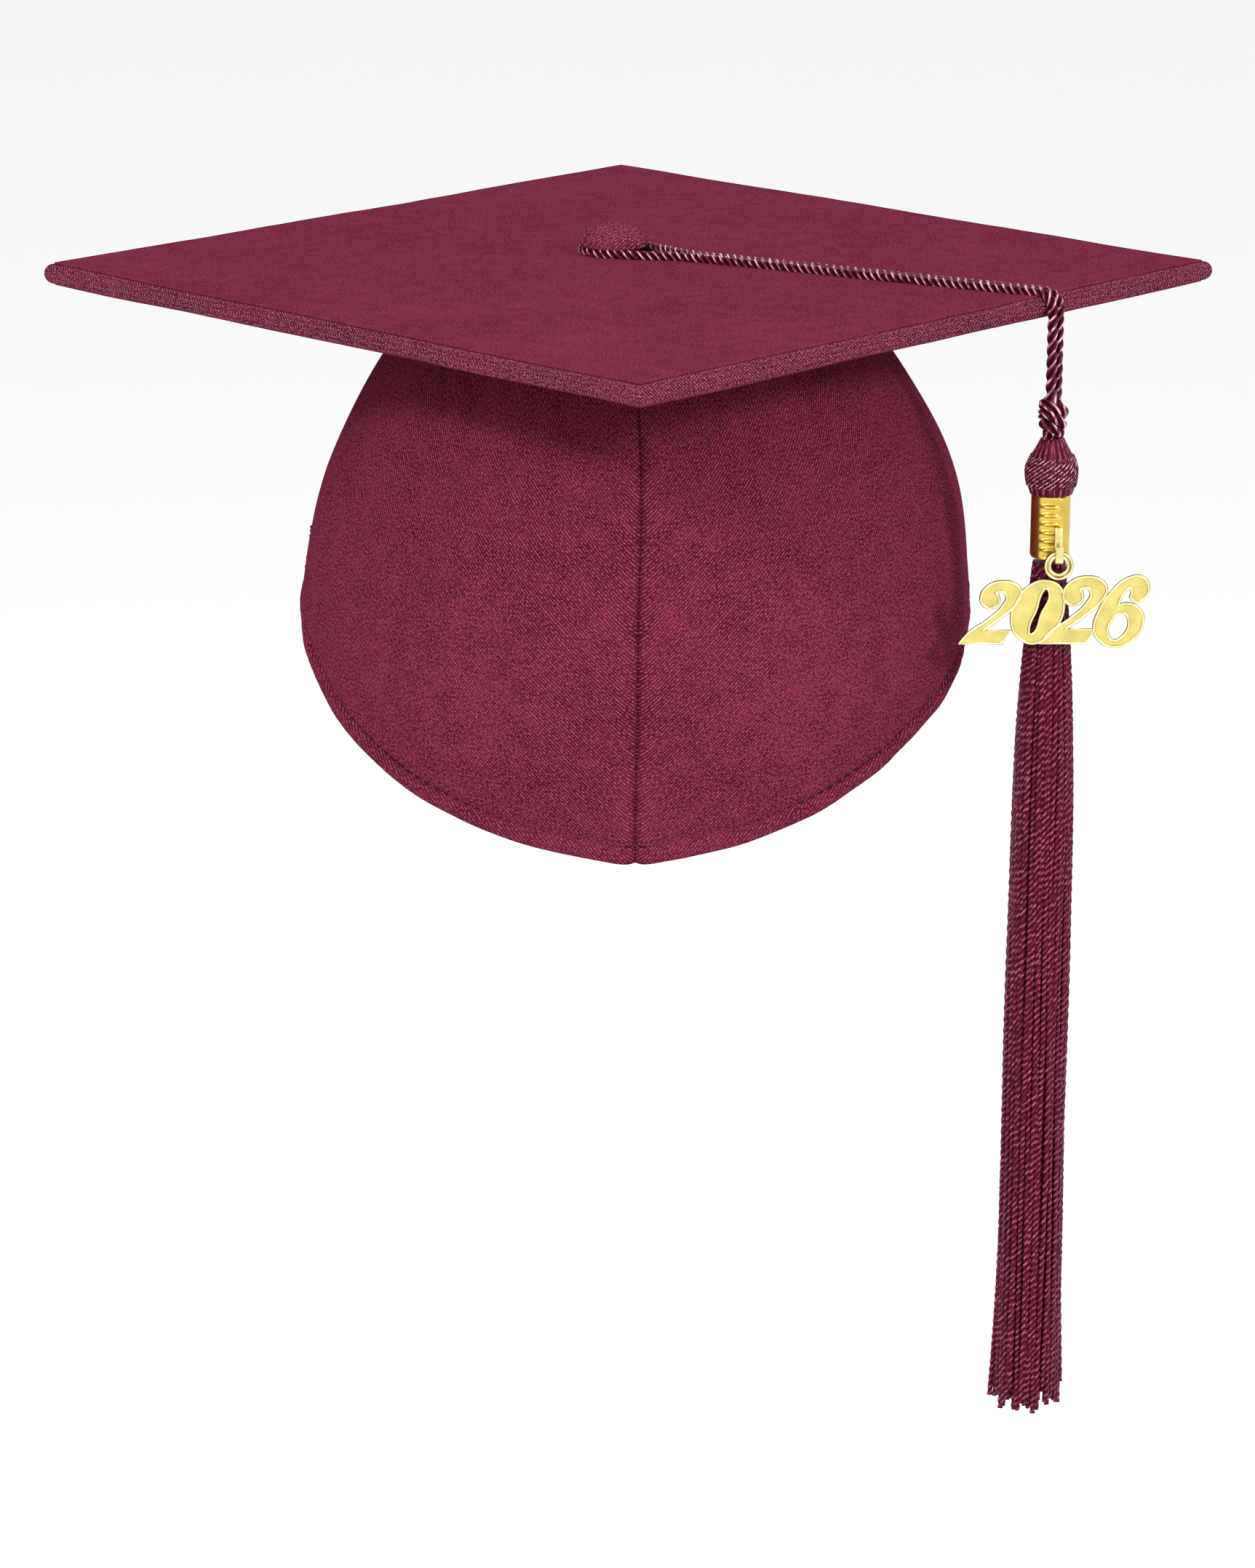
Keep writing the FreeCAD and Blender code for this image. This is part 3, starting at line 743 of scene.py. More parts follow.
def crown_fold(side, angle, z, rim):
    """How far the cloth stands out from the plain crown at an angle and height; rim is its edge's height."""
    share = min(1.0, (CROWN_TOP - z) / (CROWN_TOP - rim))
    lift = z - rim
    from_front = angle * FRONT_R
    from_side = (angle - seam_angle(z)) * SIDE_R
    seams = -0.0022 * bulge(from_front, 0.0011) - 0.0010 * bulge(from_side, 0.0013)
    seams += 0.0006 * bulge(from_front - 0.0045, 0.003)
    gathers = 0.0013 * ripple(angle * 11, side * 3.0, z * 25) * math.exp(-share / 0.10)
    soft = 0.0016 * ripple(angle * 2.2, z * 14, side * 7.0) + 0.0006 * ripple(angle * 8, z * 22, side)
    hem, ruche = 0.0, 0.0
    if from_side < 0:
        hem = 0.0005 * ripple(angle * 60, side, 2.0) * bulge(lift - HEM_STITCH, 0.004)
        hem += 0.0006 * bulge(lift - 0.0020, 0.0025) - 0.0015 * bulge(lift - HEM_STITCH, 0.0011)
    else:
        near_rim = bulge(1 - share, 0.22) * min(1.0, from_side / 0.012)
        ruche = 0.0011 * near_rim * math.sin(150 * angle / HALF_TURN + 3 * ripple(angle * 6, side, 1.5))
        ruche = max(ruche, -0.0002) + 0.0016 * math.exp(-lift / 0.004) * math.exp(-from_side / 0.006)
    return seams + (gathers + soft + hem) * min(1.0, from_front / 0.006) + ruche


def crown_shift(angle, z):
    """How far the worn, slightly leaning crown sits to the right of the middle. Its back doesn't lean."""
    raised = 1 / (1 + math.exp(-(z + 0.002) / 0.012))
    front = 1 - min(1.0, max(0.0, (angle - QUARTER_TURN - 0.05) / 0.7))
    return raised * (0.0014 + 0.0020 * math.sin(angle) ** 2) * front + 0.0005 * ripple(z * 32, 0.0, 9.0)


def crown_place(side, angle, z, inset, rim):
    """A place on the crown, inset from its face; side is 1 on the right and -1 on the left."""
    x, y = plain_crown(angle, z)
    out = crown_fold(side, angle, z, rim) - inset
    return (side * (x + out * math.sin(angle)) + crown_shift(angle, z), y - out * math.cos(angle), z)


def panel_rows(side, first, last, columns, rows, hem):
    """A panel from the board down to the rim, round the fold and up inside as far as hem."""
    fold_steps, hem_steps = 8, 6
    places = []
    weave = []
    for i in range(rows + 1 + fold_steps + hem_steps):
        line, marks = [], []
        for j in range(columns + 1):
            u = j / columns
            rim = rim_height(first(0.0) + (last(0.0) - first(0.0)) * u)
            drop = CROWN_TOP - rim - FOLD_R
            turn = HALF_TURN * min(max(i - rows, 0), fold_steps) / fold_steps
            climb = hem * max(i - rows - fold_steps, 0) / hem_steps
            fall = drop * min(i, rows) / rows
            z = CROWN_TOP - fall - FOLD_R * math.sin(turn) + climb
            angle = first(z) + (last(z) - first(z)) * u
            inset = FOLD_R * (1 - math.cos(turn))
            line.append(crown_place(side, angle, z, inset, rim))
            marks.append((angle * SIDE_R, -fall - FOLD_R * turn - climb))
        places.append(line)
        weave.append(marks)
    return np.array(places), np.array(weave)


def add_panel(name, side, first, last, columns, hem, look):
    """A crown panel between two lines, each given as the angle at a height."""
    rows, weave = panel_rows(side, first, last, columns, 90, hem)
    return cloth_piece(name, look, rows, weave, offset=side)


def front_line(z):
    """Angle of the centre-front seam at a height."""
    return 0.0


def back_line(z):
    """Angle of the centre back at a height."""
    return HALF_TURN


def make_front_panel(side, place, looks):
    """One front panel, cut to a point at the forehead, with its turned hem."""
    name = "front_panel_" + place
    panel = add_panel(name, side, front_line, seam_angle, 150, HEM_DEPTH, looks["crown"])
    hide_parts("crown_front_" + place, "hem_front_" + place)
    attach(panel, "cap")


def make_back_panel(side, place, looks):
    """One back panel, drawn up by the elastic."""
    name = "back_panel_" + place
    panel = add_panel(name, side, seam_angle, back_line, 190, 0.002, looks["crown"])
    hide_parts("crown_back_" + place)
    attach(panel, "cap")


def inner_band(name, side, angles, low, high, inset, look, steps=60):
    """A layer inside the crown between two heights above the rim, given as functions of the angle."""
    down = 24
    places, weave = empty_grid(down, steps)
    for j in range(steps + 1):
        angle = angles[0] + (angles[1] - angles[0]) * j / steps
        top, bottom = high(angle), low(angle)
        for i in range(down + 1):
            z = top + (bottom - top) * i / down
            places[i, j] = crown_place(side, angle, z, inset, rim_height(angle))
            weave[i, j] = (angle * LINING_R, z)
    return cloth_piece(name, look, places, weave, offset=side)


def above_rim(lift):
    """A line at one height above the rim, as a function of the angle."""
    return lambda angle: rim_height(angle) + lift


def lining_top(angle):
    """The line just under the board, where the linings end."""
    return CROWN_TOP - 0.0032


def make_linings(side, place, looks):
    """The stiff interfacing inside one front panel."""
    span = (0.0065 / FRONT_R, seam_angle(0.03) - 0.065)
    low = above_rim(HEM_DEPTH + 0.0005)
    lining = inner_band("front_lining_" + place, side, span, low, lining_top, 0.0011, looks["interfacing"])
    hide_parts("front_interfacing_" + place)
    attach(lining, "cap")


def make_casing(side, place, looks):
    """Half of the band that holds the elastic inside the back rim, gathered by it."""
    span = (seam_angle(0.0) + 0.009, HALF_TURN)
    low, high = above_rim(0.0003), above_rim(HEM_DEPTH - 0.0005)
    casing = inner_band("elastic_casing_" + place, side, span, low, high, 0.0029, looks["crown"], steps=150)
    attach(casing, "cap")


def make_elastic(side, place, looks):
    """Half of the ribbed elastic inside the casing, drawn up with it."""
    span = (seam_angle(0.0) + 0.010, HALF_TURN)
    low, high = above_rim(0.0014), above_rim(HEM_DEPTH - 0.0018)
    band = inner_band("elastic_" + place, side, span, low, high, 0.0019, looks["elastic"], steps=150)
    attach(band, "cap")


def make_tip(looks):
    """The flat top of the crown, a little slack, seen from inside the cap."""
    rings, around = 14, 96
    rows = np.zeros((rings + 1, around, 3))
    weave = np.zeros((rings + 1, around + 1, 2))
    for i in range(rings + 1):
        share = 0.10 + 0.90 * i / rings
        for j in range(around + 1):
            turn = TURN * j / around - HALF_TURN
            side = 1 if turn >= 0 else -1
            x, y = plain_crown(abs(turn), CROWN_TOP)
            x = side * x * share * TIP_SIZE + crown_shift(abs(turn), CROWN_TOP) * share
            y = y * share * TIP_SIZE
            weave[i, j] = (x, y)
            if j < around:
                slack = 0.0004 * ripple(x * 60, y * 60, 5.0) * math.sin(HALF_TURN * share)
                rows[i, j] = (x, y, TIP_HIGH - 0.0004 + slack)
    tip = cloth_piece("crown_tip_cloth", looks["crown"], rows, weave, wrap=True)
    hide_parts("crown_tip")
    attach(tip, "cap")


def make_seam_tape(looks):
    """The tape sewn over the centre-front seam inside."""
    for side, place in ((1, "right"), (-1, "left")):
        span, low = (0.0, 0.0058 / FRONT_R), above_rim(HEM_DEPTH + 0.0002)
        band = inner_band("seam_tape_" + place, side, span, low, lining_top, 0.0012, looks["tape"], steps=8)
        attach(band, "cap")
    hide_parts("front_seam_tape")


def stitch_row(shape, places, outs):
    """Small raised stitches along a line on the cloth."""
    along = run_lengths(places)
    start = STITCH_GAP
    while start + STITCH < along[-1]:
        marks = np.linspace(start, start + STITCH, 6)
        lift = 0.00040 * np.sin(np.linspace(0, HALF_TURN, 6)) + 0.00055
        line = np.stack([np.interp(marks, along, places[:, k]) for k in range(3)], axis=1)
        normal = np.stack([np.interp(marks, along, outs[:, k]) for k in range(3)], axis=1)
        shape.tube(line + lift[:, None] * normal, STITCH_R, 6)
        start += STITCH + STITCH_GAP


def crown_line(side, first, last, lift, count):
    """A line round the crown at a height above its rim, and the outward directions there."""
    places, outs = [], []
    for step in range(count):
        angle = first + (last - first) * step / (count - 1)
        rim = rim_height(angle)
        places.append(crown_place(side, angle, rim + lift, 0.0, rim))
        outs.append((side * math.sin(angle), -math.cos(angle), 0.1))
    return np.array(places), np.array(outs)


def make_stitches(side, place, looks):
    """The hem's line of stitches on a front panel and the casing's two lines on a back panel."""
    shape = Shape()
    seam = seam_angle(0.0)
    stitch_row(shape, *crown_line(side, 0.006, seam - 0.006, HEM_STITCH, 260))
    for lift in (0.0030, HEM_DEPTH - 0.0015):
        stitch_row(shape, *crown_line(side, seam + 0.01, HALF_TURN - 0.004, lift, 420))
    made = shape.piece("hem_stitches_" + place, looks["thread"])
    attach(made, "cap")


# ---- tassel ----
# The two ends' ways through the knot, in millimetres: across and back from the tassel's axis, and height.
KNOT_ROUTES = (
    ((-0.6, 0.4, 70.0), (0.2, -1.6, 67.6), (2.9, -1.6, 65.4), (3.0, 1.6, 63.8), (-0.4, 2.8, 63.0),
     (-3.2, 1.0, 63.6), (-3.0, -1.9, 65.2), (-0.2, -2.9, 64.0), (2.6, -2.2, 61.6), (2.4, 1.2, 60.2),
     (-0.4, 2.0, 59.6), (-1.8, 0.2, 58.8), (-1.2, -1.0, 56.4)),
    ((0.9, 0.2, 70.0), (-0.8, 1.8, 67.8), (-3.2, 0.6, 66.8), (-2.8, -2.0, 67.2), (0.4, -2.7, 66.4),
     (3.0, -0.6, 64.6), (1.8, 2.3, 62.6), (-1.6, 2.2, 61.4), (-3.1, -0.4, 61.6), (-1.4, -2.7, 61.2),
     (1.6, -2.4, 59.6), (1.9, 0.2, 58.6), (0.9, -0.8, 56.4)),
)


def make_knot(looks):
    """The cord's two ends tied in a small overhand knot above the tassel's head."""
    shape = Shape()
    for route in KNOT_ROUTES:
        points = [(TASSEL_X + x * MM, TASSEL_Y + y * MM, z * MM) for x, y, z in route]
        lay_rope(shape, evenly(spline_points(points), RING_STEP), LOOSE_TWIST)
    knot = shape.piece("overhand_knot", looks["cord"])
    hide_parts("cord_knot")
    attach(knot, "tassel")
    return knot


def head_profile():
    """The head's radius as a function of height, with its lowest and highest places."""
    low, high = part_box("tassel_head")
    tall = high.z - low.z
    widest = (high.x - low.x) / 2
    heights = (0.0, 0.10, 0.28, 0.46, 0.66, 0.84, 1.0)
    radii = (0.84, 0.91, 0.99, 1.0, 0.86, 0.64, 0.46)
    at = smooth_through([low.z + tall * share for share in heights], [widest * share for share in radii])
    return at, low.z, high.z


def make_head(looks):
    """The tassel's head: the strands drawn over the core, bound by a fine net of thread."""
    at, low, high = head_profile()
    profile = [(at(z) - 0.0003, z) for z in np.linspace(low, high, 26)]
    profile = [(0.0008, low)] + profile + [(0.0008, high)]

    def strands(angle, height):
        crossing = 260 * (height - high) if height > high - 0.006 else -1.56
        return 0.00032 * abs(math.sin(11 * angle + crossing + 0.8 * ripple(height * 120, 0.0, 1.0)))

    shape = Shape()
    turned(shape, profile, 184, (TASSEL_X, TASSEL_Y), strands)
    head = shape.piece("tassel_bulb", looks["strand"])
    net = Shape()
    threads = 28
    for lean in (1, -1):
        for thread in range(threads):
            start = TURN * thread / threads
            line = []
            for z in np.linspace(low + 0.0024, high - 0.0050, 40):
                angle = start + lean * (z - low) * 190
                reach = at(z) + 0.00012 + 0.00010 * math.sin(6.5 * angle * lean)
                line.append((TASSEL_X + reach * math.sin(angle), TASSEL_Y - reach * math.cos(angle), z))
            net.tube(np.array(line), 0.00021, 6, start=thread)
    mesh = net.piece("head_net", looks["cord"])
    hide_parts("tassel_head")
    for made in (head, mesh):
        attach(made, "tassel")


def make_ferrule(looks):
    """The gilt sleeve, with short ridges pressed in at the front and a plain strip beside them."""
    low, high = FERRULE_LOW.z, FERRULE_HIGH.z
    radius, bore = 0.0056, 0.0050
    ridges, pitch = 6, 0.0025
    middle = (low + high) / 2

    def pressed(angle, height):
        if radius_here(height) < radius - 0.0001:
            return 0.0
        turn = (angle + HALF_TURN) % TURN - HALF_TURN
        place = (height - middle) / pitch + (ridges - 1) / 2
        step = place - round(place)
        within = -0.5 < place < ridges - 0.5
        zone = math.exp(-((turn + 0.12) / 0.40) ** 4)
        ridge = math.exp(-(step / 0.22) ** 2) if within else 0.0
        panel = math.exp(-((turn - 0.50) / 0.20) ** 8)
        return 0.00085 * zone * (ridge - 0.55) + 0.00020 * panel

    def radius_here(height):
        from_end = min(height - low, high - height)
        return radius - 0.0003 * math.exp(-(from_end / 0.0004) ** 2)

    heights = np.linspace(low, high, 90)
    profile = [(bore, low + 0.0001)] + [(radius_here(z), z) for z in heights] + [(bore, high - 0.0001)]
    inner = [(bore, high - 0.0002), (bore, low + 0.0001)]
    shape = Shape()
    turned(shape, profile, 160, (TASSEL_X, TASSEL_Y), pressed)
    turned(shape, inner, 160, (TASSEL_X, TASSEL_Y))
    sleeve = shape.piece("gilt_sleeve", looks["sleeve"])
    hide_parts("ferrule")
    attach(sleeve, "tassel")


def skirt_radius():
    """The skirt's radius as a function of height."""
    heights = (SKIRT_END, -0.170, -0.090, -0.027, -0.004, 0.012, 0.022)
    radii = (0.0100, 0.0093, 0.0088, 0.0081, 0.0067, 0.0055, 0.0046)
    return smooth_through(heights, radii)


def add_strand(shape, rng, ring, place, reach_at, stray=None):
    """One hanging strand of the skirt; ring is its share of the way out from the middle."""
    length_short = rng.uniform(0.0, UNEVEN_ENDS)
    phase, sway = rng.uniform(0, TURN), rng.uniform(0.02, 0.09)
    heights = np.arange(SKIRT_TOP, SKIRT_END + length_short, -0.0012)
    depth = (SKIRT_TOP - heights) / (SKIRT_TOP - SKIRT_END)
    angle = place + sway * np.sin(3.2 * depth * HALF_TURN + phase) * depth ** 0.5
    reach = np.array([reach_at(z) for z in heights]) * ring - 0.0006 * ring
    reach = reach + 0.0003 * np.sin(9 * depth + phase)
    x = TASSEL_X + reach * np.sin(angle)
    y = TASSEL_Y - reach * np.cos(angle)
    if stray is not None:
        x = x + stray * np.clip((depth - 0.77) / 0.23, 0, 1) ** 1.6
    path = np.stack([x, y, heights], axis=1)
    radius = STRAND_R - 0.00020 * np.clip(1 - depth / 0.12, 0, 1)
    twist = twist_along(path, rng.uniform(0.0036, 0.0046)) + phase
    shape.tube(path, radius, 8, twist=twist, lobe=0.22, start=phase)


def make_skirt(looks):
    """The tassel's hanging strands: rings of twisted cords with uneven cut ends."""
    rng = random.Random(7)
    reach_at = skirt_radius()
    shape = Shape()
    for ring, count in ((1.0, 40), (0.84, 33), (0.67, 26), (0.48, 18), (0.28, 10), (0.08, 3)):
        for strand in range(count):
            place = TURN * (strand + rng.uniform(-0.28, 0.28)) / count
            add_strand(shape, rng, ring * rng.uniform(0.96, 1.03), place, reach_at)
    add_strand(shape, rng, 1.0, -1.45, reach_at, stray=-0.0022)
    add_strand(shape, rng, 1.02, 1.30, reach_at, stray=0.0007)
    skirt = shape.piece("skirt_strands", looks["strand"])
    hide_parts("tassel_skirt")
    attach(skirt, "tassel")


# ---- charm ----
# Outlines in millimetres from the charm's left end and the numerals' foot, with the numbers of the points
# that are corners. The others are smooth.
TWO = ((0.0, 0.0), (12.2, 0.0), (14.4, 3.8), (6.6, 3.8), (11.8, 7.6), (16.2, 11.8), (17.4, 15.0),
       (15.8, 17.3), (12.0, 18.2), (8.2, 17.0), (6.0, 13.8), (6.8, 11.3), (9.0, 10.5), (10.9, 11.7),
       (10.9, 13.8), (10.2, 14.8), (12.2, 15.3), (13.3, 13.9), (12.2, 11.0), (8.0, 6.9), (2.8, 3.2))
TWO_CORNERS = (0, 1, 2, 3, 15)
ZERO = ((24.2, 18.4), (28.4, 16.4), (29.6, 11.0), (27.4, 4.4), (22.4, 0.2), (17.4, 1.4), (14.8, 6.6),
        (16.6, 13.2), (20.2, 17.2))
ZERO_SLOT = ((24.4, 16.2), (25.4, 15.0), (23.2, 8.4), (21.2, 3.0), (20.2, 2.7), (19.8, 3.9),
             (21.8, 10.0), (23.4, 15.2))
SIX = ((45.0, -1.0), (40.6, 0.2), (38.4, 4.2), (39.6, 9.4), (43.2, 15.2), (48.0, 19.2), (51.6, 19.4),
       (53.5, 16.8), (52.6, 13.4), (50.3, 12.2), (48.6, 13.3), (48.9, 15.2), (48.2, 16.4),
       (46.0, 13.8), (44.9, 11.0), (48.0, 11.6), (51.4, 9.6), (52.2, 5.4), (49.4, 0.8))
SIX_CORNERS = (12, 14)
SIX_HOLE = ((46.6, 8.8), (48.2, 6.6), (46.4, 1.8), (43.9, 0.8), (42.3, 2.6), (43.6, 7.2))
TWO_SIZE = 1.07
TWO_SHIFT = 23.0


def charm_outline(points, corners=(), grow=1.0, shift=0.0):
    """An outline's places on the charm's front, in metres from the charm's lower left end."""
    return [((x * grow + shift) * MM, y * grow * MM, i in corners) for i, (x, y) in enumerate(points)]


def flat_curve(name, outlines, thick, rim=0.0, filled=True):
    """A mesh made from closed smooth outlines: a filled plate, or a round rim along them."""
    curve = bpy.data.curves.new(name, "CURVE")
    curve.dimensions = "2D" if filled else "3D"
    if filled:
        curve.fill_mode = "BOTH"
        curve.extrude = thick / 2
    else:
        curve.bevel_depth = rim
        curve.bevel_resolution = 3
    for outline in outlines:
        spline = curve.splines.new("BEZIER")
        spline.bezier_points.add(len(outline) - 1)
        for knot, (x, y, corner) in zip(spline.bezier_points, outline):
            knot.co = (x, y, 0)
            kind = "VECTOR" if corner else "AUTO"
            knot.handle_left_type = kind
            knot.handle_right_type = kind
        spline.use_cyclic_u = True
        spline.resolution_u = 10
    made = add_object(name, curve)
    bpy.context.view_layer.update()
    mesh = bpy.data.meshes.new_from_object(made)
    bpy.data.objects.remove(made)
    return mesh


def stand_up(mesh, left, foot, front):
    """Turns a mesh made flat so that it stands, facing the front."""
    for vertex in mesh.vertices:
        x, y, z = vertex.co
        vertex.co = (left + x, front - z, foot + y)
    return mesh


def join_meshes(name, parts, looks):
    """One object from several meshes, each given with the number of its look."""
    combined = bmesh.new()
    for mesh, look in parts:
        known = len(combined.faces)
        combined.from_mesh(mesh)
        combined.faces.ensure_lookup_table()
        for face in combined.faces[known:]:
            face.material_index = look
    mesh = bpy.data.meshes.new(name)
    bmesh.ops.recalc_face_normals(combined, faces=combined.faces)
    combined.to_mesh(mesh)
    combined.free()
    for look in looks:
        mesh.materials.append(look)
    return add_object(name, mesh)


def charm_eye(parts, eye_x, eye_z, middle_y, thick):
    """The eye at the charm's top: a flat ring with a round rim at its outside and at its hole."""
    outer, hole, rim = EYE_R, EYE_HOLE_R, 0.00042
    shape = Shape()
    around = np.linspace(0, TURN, 61)[:-1]
    for radius in (outer - rim, hole + rim):
        for face in (1, -1):
            level = np.full(60, middle_y + face * thick / 2)
            ring = np.stack([eye_x + radius * np.cos(around), level, eye_z + radius * np.sin(around)], axis=1)
            ring = np.concatenate([ring, ring[:1]])
            shape.tube(ring, rim, 10)
    inside, outside, half = hole + rim / 2, outer - rim / 2, thick / 2
    section = ((inside, -half), (outside, -half), (outside, half), (inside, half), (inside, -half))
    rows = np.array([[(eye_x + r * math.cos(a), middle_y + y, eye_z + r * math.sin(a)) for a in around]
                     for r, y in section])
    shape.grid(rows, np.zeros((5, 61, 2)), wrap=True)
    mesh = bpy.data.meshes.new("eye")
    mesh.from_pydata(shape.points, [], shape.faces)
    parts.append((mesh, 1))


def make_charm(looks):
    """The year in four joined numerals with frosted faces and polished rims, hanging from an eye."""
    thick = CHARM_HIGH.y - CHARM_LOW.y
    middle_y = (CHARM_HIGH.y + CHARM_LOW.y) / 2
    left, foot = CHARM_LOW.x + 0.0003, CHARM_LOW.z + 0.0003
    numerals = (
        ([charm_outline(TWO, TWO_CORNERS)], 0.94),
        ([charm_outline(ZERO), charm_outline(ZERO_SLOT)], 0.86),
        ([charm_outline(TWO, TWO_CORNERS, TWO_SIZE, TWO_SHIFT)], 1.0),
        ([charm_outline(SIX, SIX_CORNERS), charm_outline(SIX_HOLE)], 0.92),
    )
    rim = 0.00046
    parts = []
    for outlines, share in numerals:
        plate = flat_curve("plate", outlines, thick * share * 0.45)
        parts.append((stand_up(plate, left, foot, middle_y), 0))
        for face in (1, -1):
            edge = flat_curve("rim", outlines, 0, rim=rim, filled=False)
            parts.append((stand_up(edge, left, foot, middle_y - face * (thick * share / 2 - rim)), 1))
    charm_eye(parts, EYE_X, EYE_Z, middle_y, thick * 0.6)
    charm = join_meshes("year_numerals", parts, [looks["frosted"], looks["rim"]])
    for face in charm.data.polygons:
        face.use_smooth = face.material_index > 0
    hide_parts("year_charm")
    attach(charm, "charm")


def make_hook(looks):
    """The bent gilt tab that carries the charm's eye."""
    high = HOOK_HIGH.z
    half, thick = 0.00115, 0.00062
    back = FERRULE_LOW.y - 0.0002
    front = HOOK_LOW.y + thick / 2
    bottom = HOOK_LOW.z + thick / 2
    behind = ((back, high), (back - 0.0006, high - 0.0020), (back - 0.0005, bottom + 0.0040),
              (back - 0.0008, bottom))
    before = ((front, bottom), (front, bottom + 0.0030), (front + 0.0004, high - 0.0048))
    path = evenly(spline_points([(EYE_X, y, z) for y, z in behind + before]), 0.0002)
    along = np.gradient(path, axis=0)
    along /= np.linalg.norm(along, axis=1)[:, None]
    wide = np.broadcast_to((1.0, 0.0, 0.0), path.shape)
    thin = np.cross(along, wide)
    corners = ((-1, -0.6), (-0.8, -1), (0.8, -1), (1, -0.6), (1, 0.6), (0.8, 1), (-0.8, 1), (-1, 0.6))
    rows = np.stack([path + half * a * wide + thick / 2 * b * thin for a, b in corners], axis=1)
    shape = Shape()
    shape.grid(rows, np.zeros((len(path), 9, 2)), wrap=True, capped=True)
    hook = shape.piece("bent_tab", looks["polished"])
    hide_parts("charm_hook")
    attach(hook, "tassel")


# ---- looks of the CAD pieces that stay ----
def paint_cad(looks):
    """Gives the CAD pieces that stay in view or inside their own looks."""
    for node, look in (("board_core", "cardboard"), ("button_core", "plastic"), ("button_post", "steel"),
                       ("button_washer", "steel"), ("tassel_core", "strand")):
        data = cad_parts[node].data
        data.materials.clear()
        data.materials.append(looks[look])


# ---- stage ----
FLOOR_GAP = 0.30            # room between the tassel's end and the floor
FLOOR_SIZE = 30
LAMP = 0.3


def add_floor():
    """A plain pale floor, low enough for the tassel to hang clear."""
    floor_z = cad_bounds[0][2] - FLOOR_GAP
    bpy.ops.mesh.primitive_plane_add(size=FLOOR_SIZE, location=(0, 0, floor_z))
    floor = bpy.context.object
    floor.name = "floor"
    look = material("floor", Base_Color=(0.90, 0.90, 0.90, 1), Roughness=0.9, Specular_IOR_Level=0.1)
    floor.data.materials.append(look)


def add_light(name, place, power):
    """A square lamp that faces the cap's middle."""
    lamp = bpy.data.lights.new(name, "AREA")
    lamp.shape = "RECTANGLE"
    lamp.size, lamp.size_y = LAMP, LAMP
    lamp.energy = power
    made = add_object(name, lamp)
    made.location = place
    made.rotation_euler = (-Vector(place)).to_track_quat("-Z", "Y").to_euler()


def add_world():
    """Soft white light from all round, as in a light tent."""
    world = bpy.data.worlds.new("studio")
    world.use_nodes = True
    background = world.node_tree.nodes["Background"]
    background.inputs["Color"].default_value = WHITE
    background.inputs["Strength"].default_value = 1.0
    bpy.context.scene.world = world


def add_lights():
    """The soft white surroundings, and two lamps whose powers are in watts."""
    add_world()
    add_light("key", (-0.9, -1.5, 1.2), 24)
    add_light("fill", (1.3, -1.2, 0.9), 18)
    bpy.context.scene.view_settings.view_transform = "Standard"


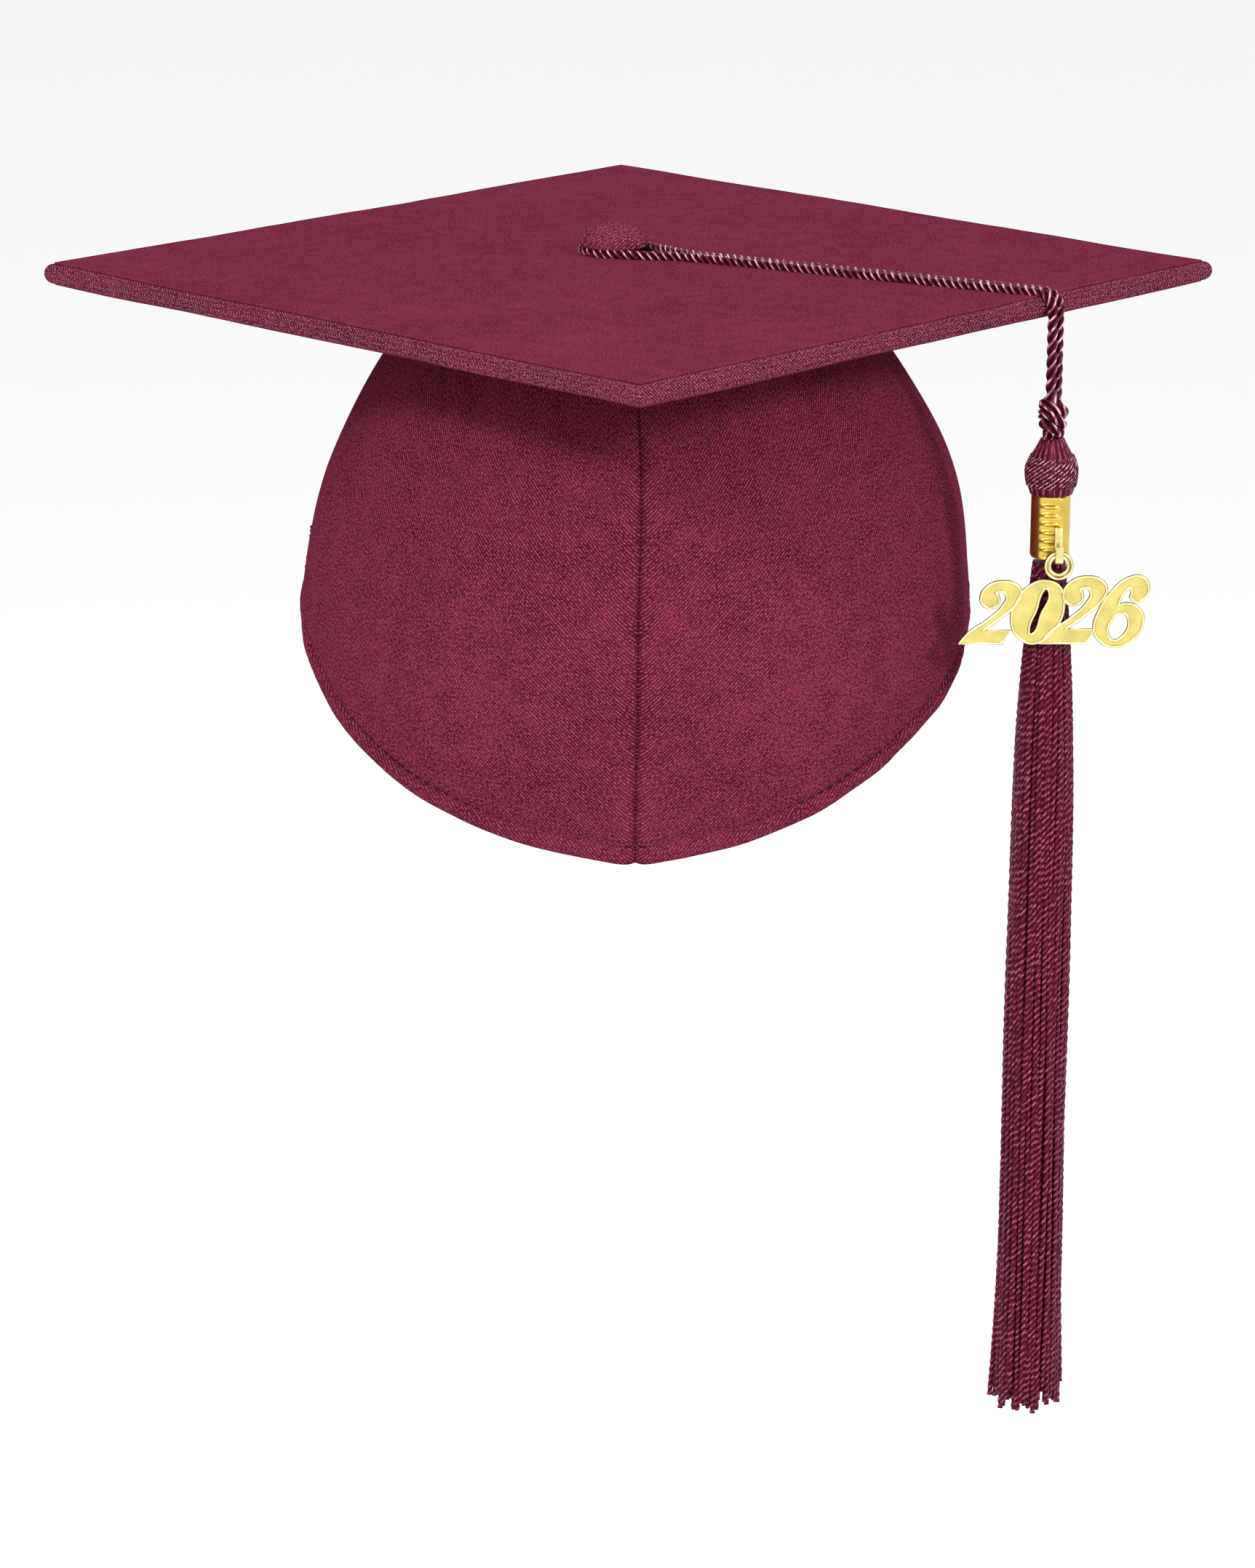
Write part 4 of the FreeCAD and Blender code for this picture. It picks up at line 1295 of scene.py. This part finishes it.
def make_looks():
    # In every twill and rayon look the last colour is a painted highlight; in the rayon looks the first
    # colour is painted shade between the crests and the second the lit crest.
    return {
        "board": twill("board_twill", (0.093, 0.008, 0.021, 1), (0.138, 0.016, 0.036, 1),
                       (0.24, 0.056, 0.090, 1)),
        # Painted shade: the turned edge is the board's cloth made darker, with brighter painted glints.
        "edge": twill("edge_twill_painted_shade", (0.052, 0.003, 0.010, 1), (0.092, 0.008, 0.020, 1),
                      (0.40, 0.14, 0.20, 1)),
        "button": twill("button_twill", (0.070, 0.005, 0.015, 1), (0.120, 0.013, 0.030, 1),
                        (0.36, 0.11, 0.17, 1)),
        "crown": twill("crown_twill", (0.060, 0.003, 0.011, 1), (0.112, 0.009, 0.024, 1),
                       (0.29, 0.075, 0.118, 1)),
        "thread": rayon("thread_rayon", 0.00026, (0.012, 0.000, 0.002, 1), (0.030, 0.001, 0.005, 1),
                        (0.10, 0.02, 0.04, 1)),
        "cord": rayon("cord_rayon", PLY_R, (0.034, 0.001, 0.006, 1), (0.120, 0.008, 0.026, 1),
                      (0.80, 0.44, 0.52, 1)),
        "strand": rayon("strand_rayon", STRAND_R, (0.045, 0.001, 0.008, 1), (0.100, 0.006, 0.021, 1),
                        (0.34, 0.085, 0.145, 1)),
        "sleeve": gilt("sleeve_gilt", 0.28, 0.00001, (0.80, 0.57, 0.11, 1)),
        "polished": gilt("polished_gilt", 0.30, 0.00001, (0.92, 0.77, 0.33, 1)),
        "frosted": gilt("frosted_gilt", 0.45, 0.00012, (0.76, 0.64, 0.21, 1)),
        # The rim's flank colour is painted shade where the rim turns sideways.
        "rim": gilt("rim_gilt", 0.30, 0.00001, (0.97, 0.84, 0.42, 1), painted_flank_shade=(0.20, 0.12, 0.02, 1)),
        "cardboard": fibre_board(),
        "interfacing": pressed_lining(),
        "tape": woven_tape(),
        "elastic": ribbed_elastic(),
        "plastic": moulded_plastic(),
        "steel": brushed_steel(),
    }


def main():
    add_camera()
    looks = make_looks()
    cord, path = make_cord(looks)
    knot = make_knot(looks)
    for make in (make_head, make_ferrule, make_hook, make_charm, make_skirt):
        make(looks)
    make_cover("top_cover", BOARD_HIGH, 1, looks)
    make_cover("bottom_cover", BOARD_LOW, -1, looks)
    for quarter, place in enumerate(("front_right", "back_right", "back_left", "front_left")):
        make_edge(quarter, place, looks)
    make_button(looks)
    for side, place in ((1, "right"), (-1, "left")):
        make_front_panel(side, place, looks)
        make_back_panel(side, place, looks)
        make_linings(side, place, looks)
        make_casing(side, place, looks)
        make_elastic(side, place, looks)
        make_stitches(side, place, looks)
    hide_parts("elastic_casing")
    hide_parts("elastic_band")
    make_tip(looks)
    make_seam_tape(looks)
    paint_cad(looks)
    add_floor()
    add_lights()


main()
